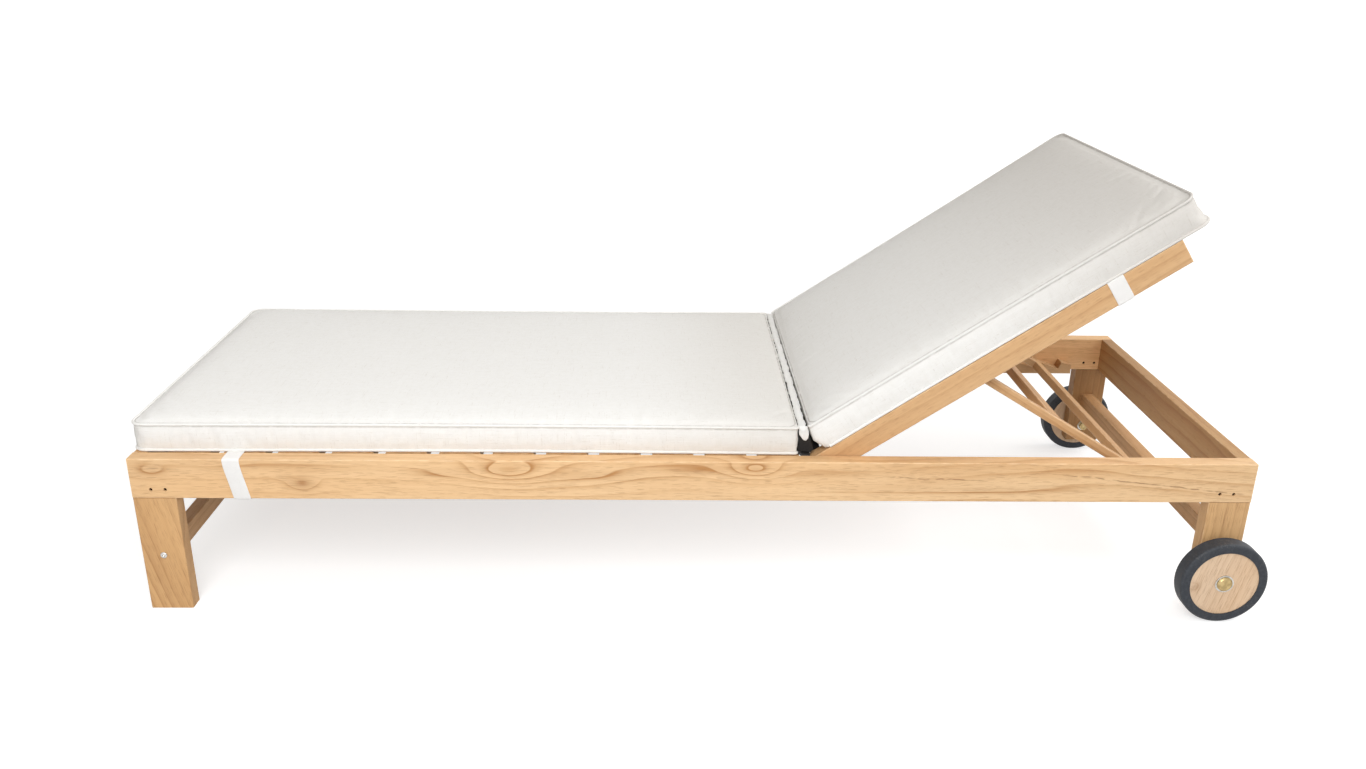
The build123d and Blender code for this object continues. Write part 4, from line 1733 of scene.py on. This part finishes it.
@dataclass
class BoxPad:
    """A piped, boxed pad: foam in a sewn cover, crowned, with sides that pull in.

    Its own frame has X along its length from the first end, Z up from its underside.
    """

    name: str
    node: str
    body: str
    length: float
    place: Matrix
    open_end: float
    thickness: float
    crown: float
    # Painted shade along the pad's X
    shade_ramp: ShadeRamp
    rise: float = 0.0
    lean: float = 0.0
    fold_round: float = 0.0
    fold_bulge: float = 0.0
    half_width: float = 0.3330
    draw: float = 0.0040
    corner: float = 0.022
    fold_corner: float = 0.005
    piping: float = 0.0026
    voxel: float = 0.006
    stations: int = 8
    bulge_share: float = 0.47
    frames: int = 20
    mass: float = 0.3
    pressure: float = 4.0
    slack: float = 0.006
    held_height: float = 0.001
    held_share: float = 0.8
    belly: float = 0.0038
    swell: float = 2.0
    seam_start: float = 0.002
    seam_reach: float = 0.012
    top_level: float = 0.004

    @property
    def seam(self) -> Seam:
        """The upper seam.

        Returns:
            The seam.
        """
        half = (self.length / 2, self.half_width, 0.0)
        slope = self.rise / self.half_width
        return Seam(half, self.corner, self.draw, self.thickness, slope)

    def build(self) -> None:
        """Makes the cover, fills it, and sews on the piping."""
        blank = self._blank()
        pipes = [
            self._pipe(blank, "upper", self.thickness),
            self._pipe(blank, "lower", 0.0),
        ]
        pad = self._cover(blank)
        self._fill(pad)
        bpy.data.objects.remove(blank)
        for obj in (pad, *pipes):
            soften_shading(obj, 60.0)
            settle(obj, self.place)
            # The cover gets painted shadow beside its piping; cover and piping get painted
            # shade along X
            seam = self.seam if obj is pad else None
            wear(obj, FINISH.cushion.material(obj.name, self.place, seam, self.shade_ramp))
            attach(obj, self.body)
        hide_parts(self.node)
        report(self.name, f"{len(pad.data.vertices)} points, piped top and bottom")

    def _blank(self) -> bpy.types.Object:
        """The pad's cut shape: a box with rounded corners and sides drawn in midway.

        Returns:
            The cut shape, in the pad's own frame.
        """
        deselect_all()
        bpy.ops.mesh.primitive_cube_add(
            size=1,
            location=(self.length / 2, 0, self.thickness / 2),
            scale=(self.length, 2 * self.half_width, self.thickness),
        )
        blank = bpy.context.active_object
        blank.name = f"{self.name}_blank"
        settle(blank)
        with editing(blank):
            for index in range(1, self.stations):
                place = self.length * index / self.stations
                bpy.ops.mesh.select_all(action="SELECT")
                bpy.ops.mesh.bisect(plane_co=(place, 0, 0), plane_no=(1, 0, 0))
            for index in range(1, self.stations):
                share = index / self.stations
                place = self.length * share
                choose(blank, Part.VERTEX, lambda co, _, p=place: abs(co.x - p) < TINY)
                pulled = 1 - self.draw * 4 * share * (1 - share) / self.half_width
                bpy.ops.transform.resize(
                    value=(1, pulled, 1), center_override=(place, 0, self.thickness / 2)
                )
            if self.fold_round:
                choose(
                    blank,
                    Part.EDGE,
                    lambda co, run: co.z < TINY and abs(co.x - self.open_end) < TINY,
                )
                bpy.ops.mesh.bevel(offset=self.fold_round, segments=4, affect="EDGES")
            for end in (0.0, self.length):
                choose(
                    blank,
                    Part.EDGE,
                    lambda co, run, e=end: abs(run.z) > self.thickness / 2
                    and abs(co.x - e) < TINY,
                )
                folds = abs(end - self.open_end) < TINY
                bpy.ops.mesh.bevel(
                    offset=self.fold_corner if folds else self.corner,
                    segments=3 if folds else 7,
                    affect="EDGES",
                )
            if self.fold_bulge:
                middle = self.thickness * self.bulge_share
                bpy.ops.mesh.select_all(action="SELECT")
                bpy.ops.mesh.bisect(plane_co=(0, 0, middle), plane_no=(0, 0, 1))
                choose(
                    blank,
                    Part.VERTEX,
                    lambda co, _: abs(co.z - middle) < TINY
                    and abs(co.x - self.open_end) < self.fold_corner + TINY,
                )
                outward = math.copysign(self.fold_bulge, self.open_end - self.length / 2)
                bpy.ops.transform.translate(value=(outward, 0, 0))
            if self.lean:
                choose(
                    blank,
                    Part.VERTEX,
                    lambda co, _: co.z < TINY and co.x > self.length - self.corner - TINY,
                )
                bpy.ops.transform.translate(value=(self.lean, 0, 0))
            for side in SIDES:
                choose(
                    blank,
                    Part.VERTEX,
                    lambda co, _, s=side: co.z > self.thickness - TINY and co.y * s > 0,
                )
                bpy.ops.transform.translate(value=(0, 0, side * self.rise))
        return blank

    def _pipe(
        self, blank: bpy.types.Object, which: str, level: float
    ) -> bpy.types.Object:
        """Fabric-covered cord sewn in along one seam, left open at the fold between pads.

        Args:
            blank: The pad's cut shape, whose outline the seam follows.
            which: The seam's name.
            level: The seam's height in the pad's own frame.

        Returns:
            The piping, in the pad's own frame.
        """
        pipe = blank.copy()
        pipe.data = blank.data.copy()
        bpy.context.scene.collection.objects.link(pipe)
        pipe.name = f"{self.name}_{which}_piping"
        with editing(pipe):
            choose(
                pipe,
                Part.FACE,
                lambda co, normal: abs(co.z - level) > TINY or abs(normal.z) < 0.9,
            )
            bpy.ops.mesh.delete(type="FACE")
            bpy.ops.mesh.select_all(action="SELECT")
            bpy.ops.mesh.delete(type="ONLY_FACE")
            choose(
                pipe,
                Part.EDGE,
                lambda co, run: abs(run.y) > self.half_width
                and (TINY < co.x < self.length - TINY or abs(co.x - self.open_end) < TINY),
            )
            bpy.ops.mesh.delete(type="EDGE")
        activate(pipe)
        bpy.ops.object.convert(target="CURVE")
        pipe.data.bevel_depth = self.piping
        pipe.data.bevel_resolution = 4
        pipe.data.use_fill_caps = True
        bpy.ops.object.convert(target="MESH")
        pipe = bpy.context.active_object
        inward = self.piping if level < self.thickness / 2 else -self.piping * 0.5
        with editing(pipe):
            bpy.ops.mesh.select_all(action="SELECT")
            bpy.ops.transform.translate(value=(0, 0, inward))
            bpy.ops.mesh.normals_make_consistent(inside=False)
        return pipe

    def _cover(self, blank: bpy.types.Object) -> bpy.types.Object:
        """A fine even mesh of the cut shape, ready to be filled.

        Args:
            blank: The pad's cut shape.

        Returns:
            The cover, in the pad's own frame.
        """
        pad = blank.copy()
        pad.data = blank.data.copy()
        bpy.context.scene.collection.objects.link(pad)
        pad.name = self.name
        pad.data.name = self.name
        pad.data.remesh_voxel_size = self.voxel
        activate(pad)
        bpy.ops.object.voxel_remesh()
        return pad

    def _fill(self, pad: bpy.types.Object) -> None:
        """Swells the cover against its seams by a cloth simulation.

        Args:
            pad: The cover.
        """
        start = [vertex.co.copy() for vertex in pad.data.vertices]
        held = pad.vertex_groups.new(name="held")
        for vertex in pad.data.vertices:
            near_seam = sum(self._depths(vertex.co)) < self.voxel * self.held_share
            if vertex.co.z < self.held_height or near_seam:
                held.add([vertex.index], 1.0, "REPLACE")
        scene = bpy.context.scene
        cloth = pad.modifiers.new("cloth", "CLOTH")
        settings = cloth.settings
        settings.quality = 4
        settings.mass = self.mass
        settings.use_pressure = True
        settings.uniform_pressure_force = self.pressure
        settings.effector_weights.gravity = 0.0
        settings.vertex_group_mass = "held"
        settings.shrink_min = -self.slack
        cloth.point_cache.frame_start = 1
        cloth.point_cache.frame_end = self.frames
        for number in range(1, self.frames + 1):
            scene.frame_set(number)
        apply_modifiers(pad)
        scene.frame_set(1)
        for vertex, rest in zip(pad.data.vertices, start):
            vertex.co = rest + self._eased(rest, vertex.co - rest)

    def _depths(self, spot: Vector) -> tuple[float, float]:
        """How far a spot of the cover lies in from the outline, and from a seam's level.

        Args:
            spot: The spot, in the pad's own frame.

        Returns:
            The two distances, neither below 0.
        """
        share = min(max(spot.x / self.length, 0.0), 1.0)
        half = self.half_width - self.draw * 4 * share * (1 - share)
        inward = min(half - abs(spot.y), spot.x, self.length - spot.x)
        top = self.thickness + self.rise * spot.y / self.half_width
        level = min(spot.z, top - spot.z)
        return max(inward, 0.0), max(level, 0.0)

    def _eased(self, rest: Vector, moved: Vector) -> Vector:
        """Swelling of one spot of the cover, held back near the seams.

        Args:
            rest: The spot before it was filled.
            moved: How far the simulation moved it.

        Returns:
            The movement that is kept.
        """
        size = moved.length
        if size < STILL:
            return moved
        inward, level = self._depths(rest)
        most = self.belly if level > self.top_level else self.crown
        share = (inward + level - self.seam_start) / self.seam_reach
        share = min(max(share, 0.0), 1.0)
        share = share * share * (3 - 2 * share)
        kept = most * (1 - math.exp(-self.swell * size / most))
        return moved * (share * kept / size)


@dataclass(frozen=True)
class Web:
    """A soft web at each end of the fold.

    It has its middle at a distance from the lounger's own, an outline in X and Z, and a share
    of its width to keep with the back flat.
    """

    name: str
    middle: float
    sheet: float
    outline: Outline
    keep: float

    def flat(self) -> tuple[float, float, float]:
        """Width, length and area of its outline.

        Returns:
            The three sizes.
        """
        across = [x for x, _ in self.outline]
        up = [z for _, z in self.outline]
        pairs = zip(self.outline, (*self.outline[1:], self.outline[0]))
        area = abs(sum(x * next_z - next_x * z for (x, z), (next_x, next_z) in pairs)) / 2
        return max(across) - min(across), max(up) - min(up), area


@dataclass
class Fold:
    """The fold between the pads: a puffed band of cover cloth over a flap of painted shade.

    The band has a web and a tail at each of its ends.
    """

    start: float = 0.1583
    end: float = 0.1730
    level: float = 0.3530
    height: float = 0.0074
    half_width: float = 0.3290
    tilt: float = 0.52
    band_keep: float = 0.38
    gathers: float = 0.0064
    gather_size: float = 0.011
    # Near-black web at each end of the fold: painted shade
    web: Web = Web(
        name="fold_shade_web",
        middle=0.3222,
        sheet=0.0012,
        outline=(
            (0.1600, 0.3030),
            (0.1600, 0.3480),
            (0.1735, 0.3480),
            (0.1765, 0.3400),
            (0.1790, 0.3320),
            (0.1825, 0.3220),
            (0.1860, 0.3130),
            (0.1870, 0.3060),
            (0.1800, 0.3020),
        ),
        keep=0.15,
    )
    tail: Web = Web(
        name="fold_tail",
        middle=0.3262,
        sheet=0.0052,
        outline=(
            (0.1592, 0.3530),
            (0.1745, 0.3530),
            (0.1766, 0.3440),
            (0.1776, 0.3370),
            (0.1764, 0.3300),
            (0.1724, 0.3250),
            (0.1676, 0.3268),
            (0.1630, 0.3330),
            (0.1594, 0.3380),
        ),
        keep=0.22,
    )
    shade_flap_sheet: float = 0.0012
    shade_flap_path: tuple[Point, ...] = (
        (0.1560, 0.3011, 0.3325),
        (0.1624, 0.3011, 0.3325),
        (0.1650, 0.2975, 0.3325),
        (0.1700, 0.2945, 0.3325),
        (0.1760, 0.2922, 0.3325),
        (0.1822, 0.2920, 0.3325),
        (0.1838, 0.2918, 0.3005),
        (0.1900, 0.2904, 0.3005),
        (0.2000, 0.2908, 0.3005),
        (0.2055, 0.2922, 0.3005),
    )

    def build(self) -> None:
        """Models the band, the flap of painted shade and the webs at the fold's ends."""
        self._band()
        self._painted_shade_flap()
        for side in SIDES:
            width, length, area = self.web.flat()
            # The webs are painted shade; the tails are cushion cloth
            web = self._web(self.web, side, FINISH.painted_shade_cloth)
            self._web(self.tail, side, FINISH.cushion)

    def _band(self) -> None:
        """A soft roll across the lounger, gathered by its stitches, with tucked ends."""
        deselect_all()
        bpy.ops.mesh.primitive_cylinder_add(
            vertices=24,
            radius=0.5,
            depth=2 * self.half_width,
            end_fill_type="NGON",
            location=((self.start + self.end) / 2, 0, self.level),
            rotation=(math.radians(90), 0, 0),
        )
        band = bpy.context.active_object
        band.name = "sewn_band"
        band.data.name = "sewn_band"
        band.scale = (self.end - self.start, self.height, 1)
        settle(band)
        with editing(band):
            for side in SIDES:
                edge = side * self.half_width
                choose(
                    band,
                    Part.FACE,
                    lambda co, normal, e=edge: abs(co.y - e) < TINY and abs(normal.y) > 0.9,
                )
                for step, shrink in (
                    ((-0.0004, side * 0.0022, -0.0010), 0.86),
                    ((-0.0006, side * 0.0010, -0.0020), 0.60),
                ):
                    bpy.ops.mesh.extrude_region_move(TRANSFORM_OT_translate={"value": step})
                    bpy.ops.transform.resize(value=(shrink, 1, shrink))
            choose(band, Part.EDGE, lambda co, run: abs(run.y) > self.half_width)
            bpy.ops.mesh.subdivide(number_cuts=260)
        gathers = bpy.data.textures.new("gathers", "CLOUDS")
        gathers.noise_scale = self.gather_size
        puff = band.modifiers.new("gathers", "DISPLACE")
        puff.texture = gathers
        puff.texture_coords = "LOCAL"
        puff.direction = "NORMAL"
        puff.mid_level = 0.55
        puff.strength = self.gathers
        apply_modifiers(band)
        with editing(band):
            bpy.ops.mesh.select_all(action="SELECT")
            bpy.ops.transform.rotate(
                value=math.radians(-self.tilt),
                orient_axis="X",
                center_override=(self.start, 0, self.level),
            )
        self._finish(band, FINISH.cushion, self.band_keep)
        report(band.name, "puffed band between the pads")

    def _web(self, web: Web, side: float, cloth: Cloth) -> bpy.types.Object:
        """One web, outlined point by point, filled, given its thickness and rounded.

        Args:
            web: Its size and outline.
            side: -1 for the near side and 1 for the far one.
            cloth: What it is made of.

        Returns:
            The web.
        """
        x, z = web.outline[0]
        level = side * web.middle
        deselect_all()
        bpy.ops.mesh.primitive_plane_add(size=1, location=(x + 0.5, level + 0.5, z))
        piece = bpy.context.active_object
        settle(piece)
        with editing(piece):
            choose(
                piece, Part.VERTEX, lambda co, _: co.x > x + 0.5 or co.y > level + 0.5
            )
            bpy.ops.mesh.delete(type="VERT")
            bpy.ops.mesh.select_all(action="SELECT")
            for next_x, next_z in (*web.outline[1:], web.outline[0]):
                bpy.ops.mesh.extrude_region_move(
                    TRANSFORM_OT_translate={"value": (next_x - x, 0, next_z - z)}
                )
                x, z = next_x, next_z
            bpy.ops.mesh.select_all(action="SELECT")
            bpy.ops.mesh.remove_doubles(threshold=WELD)
            bpy.ops.mesh.edge_face_add()
            bpy.ops.transform.translate(value=(0, -web.sheet / 2, 0))
            bpy.ops.mesh.extrude_region_move(
                TRANSFORM_OT_translate={"value": (0, web.sheet, 0)}
            )
            bpy.ops.mesh.select_all(action="SELECT")
            bpy.ops.mesh.bevel(offset=web.sheet * 0.35, segments=3, affect="EDGES")
            bpy.ops.mesh.normals_make_consistent(inside=False)
        piece.name = f"{'near' if side < 0 else 'far'}_{web.name}"
        piece.data.name = piece.name
        self._finish(piece, cloth, web.keep)
        report(piece.name, "soft web at the fold's end")
        return piece

    def _finish(self, piece: bpy.types.Object, cloth: Cloth, keep: float) -> None:
        """Gives a piece of the fold its cloth and its body.

        Args:
            piece: The piece.
            cloth: What it is made of.
            keep: Share of its width to keep when the back lies flat; it is not used.
        """
        soften_shading(piece, 65.0)
        wear(piece, cloth.material(piece.name, Matrix.Identity(4)))
        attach(piece, "frame")
        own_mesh(piece)

    def _painted_shade_flap(self) -> None:
        """A near-black cloth flap from under the seat pad's end into the fold: painted shade.
        """
        x, z, half = self.shade_flap_path[0]
        deselect_all()
        bpy.ops.mesh.primitive_plane_add(size=1, location=(x, 0, z))
        flap = bpy.context.active_object
        flap.name = "fold_painted_shade_flap"
        flap.data.name = "fold_painted_shade_flap"
        flat = 0.0
        with editing(flap):
            bpy.ops.mesh.select_all(action="SELECT")
            bpy.ops.mesh.delete(type="ONLY_FACE")
            choose(flap, Part.VERTEX, lambda co, _: co.x > 0)
            bpy.ops.mesh.delete(type="VERT")
            bpy.ops.mesh.select_all(action="SELECT")
            bpy.ops.transform.translate(value=(0.5, 0, 0))
            bpy.ops.transform.resize(value=(1, 2 * half, 1), center_override=(x, 0, z))
            bpy.ops.mesh.subdivide(number_cuts=60)
            for next_x, next_z, next_half in self.shade_flap_path[1:]:
                bpy.ops.mesh.extrude_region_move(
                    TRANSFORM_OT_translate={"value": (next_x - x, 0, next_z - z)}
                )
                bpy.ops.transform.resize(
                    value=(1, next_half / half, 1), center_override=(next_x, 0, next_z)
                )
                flat += math.hypot(next_x - x, next_z - z)
                x, z, half = next_x, next_z, next_half
        settle(flap)
        wall = flap.modifiers.new("wall", "SOLIDIFY")
        wall.thickness = self.shade_flap_sheet
        wall.offset = 0.0
        apply_modifiers(flap)
        face_outwards(flap)
        soften_shading(flap, 60.0)
        wear(flap, FINISH.painted_shade_cloth.material(flap.name, Matrix.Identity(4)))
        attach(flap, "frame")
        report(flap.name, f"dark lining, flat {2 * half:.3f} by {flat:.3f} m")


@dataclass
class StrapPair:
    """Two webbing straps that hold a pad down round a rail or stile on each side."""

    name: str
    node: str
    body: str
    place: Matrix
    middle: float
    path: tuple[Point, ...]
    width: float = 0.0305
    sheet: float = 0.0014

    def build(self) -> None:
        """Models a strap on each side, joins the two and finishes them."""
        pair = joined([self._strap(side) for side in SIDES], self.name)
        settle(pair, self.place)
        wear(pair, FINISH.webbing.material(self.name, self.place))
        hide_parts(self.node)
        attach(pair, self.body)
        report(self.name, "two webbing straps")

    def _strap(self, side: float) -> bpy.types.Object:
        """One strap, laid point by point.

        Args:
            side: -1 for the near side and 1 for the far one.

        Returns:
            The strap in its own frame.
        """
        shift, y, z = self.path[0]
        deselect_all()
        bpy.ops.mesh.primitive_plane_add(
            size=1, location=(self.middle + shift, side * y, z)
        )
        strap = bpy.context.active_object
        with editing(strap):
            choose(strap, Part.VERTEX, lambda co, _: co.y > 0)
            bpy.ops.mesh.delete(type="VERT")
            bpy.ops.mesh.select_all(action="SELECT")
            bpy.ops.transform.translate(value=(0, 0.5, 0))
            bpy.ops.transform.resize(
                value=(self.width, 1, 1),
                center_override=(self.middle + shift, side * y, z),
            )
            bpy.ops.mesh.subdivide(number_cuts=3)
            for next_shift, next_y, next_z in self.path[1:]:
                bpy.ops.mesh.extrude_region_move(
                    TRANSFORM_OT_translate={
                        "value": (next_shift - shift, side * (next_y - y), next_z - z)
                    }
                )
                shift, y, z = next_shift, next_y, next_z
        settle(strap)
        wall = strap.modifiers.new("wall", "SOLIDIFY")
        wall.thickness = self.sheet
        wall.offset = 0.0
        rounding = strap.modifiers.new("rounding", "SUBSURF")
        rounding.levels = 2
        rounding.render_levels = 2
        apply_modifiers(strap)
        face_outwards(strap)
        soften_shading(strap, 60.0)
        return strap


def back_place() -> Matrix:
    """The backrest's own frame: X up along it from the pivot, Z out of its front."""
    return Matrix.Translation(PIVOT) @ Grain.BACK.turn().to_4x4()


def seat_straps() -> StrapPair:
    """Straps from the seat pad round the side rails, pulled toward the head below.

    Returns:
        The pair, ready to build.
    """
    outer, inner = 0.3661, 0.3340
    top, bottom = 0.3011, 0.2229
    path = (
        (0.0, 0.3240, top),
        (0.0, 0.3400, top),
        (0.0, 0.3600, top),
        (0.0, outer - 0.0006, top - 0.0006),
        (0.0, outer, top - 0.0040),
        (0.0010, outer, top - 0.0180),
        (0.0060, outer, top - 0.0400),
        (0.0125, outer, bottom + 0.0060),
        (0.0132, outer - 0.0004, bottom + 0.0012),
        (0.0135, outer - 0.0016, bottom),
        (0.0150, 0.3500, bottom),
        (0.0165, inner + 0.0012, bottom),
        (0.0165, inner, bottom + 0.0012),
        (0.0165, inner, bottom + 0.0150),
    )
    return StrapPair(
        name="seat_pad_straps",
        node="seat_straps",
        body="frame",
        place=Matrix.Identity(4),
        middle=-0.8400,
        path=path,
    )


def back_straps() -> StrapPair:
    """Straps from the back pad round the stiles.

    Returns:
        The pair, ready to build.
    """
    outer, inner = 0.3330, 0.3030
    top, bottom = 0.0241, -0.0241
    path = (
        (0.0, 0.3200, top),
        (0.0, 0.3270, top),
        (0.0, outer - 0.0006, top - 0.0006),
        (0.0, outer, top - 0.0030),
        (0.0, outer, 0.0060),
        (0.0, outer, -0.0100),
        (0.0, outer, bottom + 0.0040),
        (0.0, outer - 0.0006, bottom + 0.0008),
        (0.0, outer - 0.0016, bottom),
        (0.0, 0.3180, bottom),
        (0.0, inner + 0.0012, bottom),
        (0.0, inner, bottom + 0.0012),
        (0.0, inner, bottom + 0.0100),
    )
    return StrapPair(
        name="back_pad_straps",
        node="back_straps",
        body="back_pad",
        place=back_place(),
        middle=0.5970,
        path=path,
    )


def seat_pad() -> BoxPad:
    """The long pad on the seat, whose open end is at the fold.

    Returns:
        The pad, ready to build.
    """
    return BoxPad(
        name="seat_pad",
        node="seat_cushion",
        body="frame",
        length=1.1780,
        place=Matrix.Translation((-1.0210, 0.0, 0.3004)),
        open_end=1.1780,
        thickness=0.0555,
        crown=0.0110,
        # Painted shade toward the fold, where the back pad shades the seat
        shade_ramp=ShadeRamp(start=0.85, end=1.178, tint=(0.90, 0.885, 0.865)),
        rise=0.0030,
    )


def back_pad() -> BoxPad:
    """The short pad on the backrest, rounded and bulged at the fold.

    Returns:
        The pad, ready to build.
    """
    return BoxPad(
        name="back_pad_cover",
        node="back_cushion",
        body="back_pad",
        length=0.7495,
        place=back_place() @ Matrix.Translation((0.0222, 0.0, 0.0236)),
        open_end=0.0,
        thickness=0.0600,
        crown=0.0135,
        # Painted shade toward the head end, where less light falls
        shade_ramp=ShadeRamp(start=0.20, end=0.85, tint=(0.79, 0.765, 0.74)),
        rise=0.0035,
        lean=0.007,
        fold_round=0.012,
        fold_bulge=0.008,
    )


def main() -> None:
    """Builds the studio and the lounger's sub-assemblies in order."""
    logging.basicConfig(level=logging.INFO, format="%(message)s")
    Studio().build()
    RailFrame().build()
    SeatDeck().build()
    Backrest().build()
    PropFrame().build()
    Wheels().build()
    seat_pad().build()
    back_pad().build()
    Fold().build()
    seat_straps().build()
    back_straps().build()


if __name__ == "__main__":
    main()
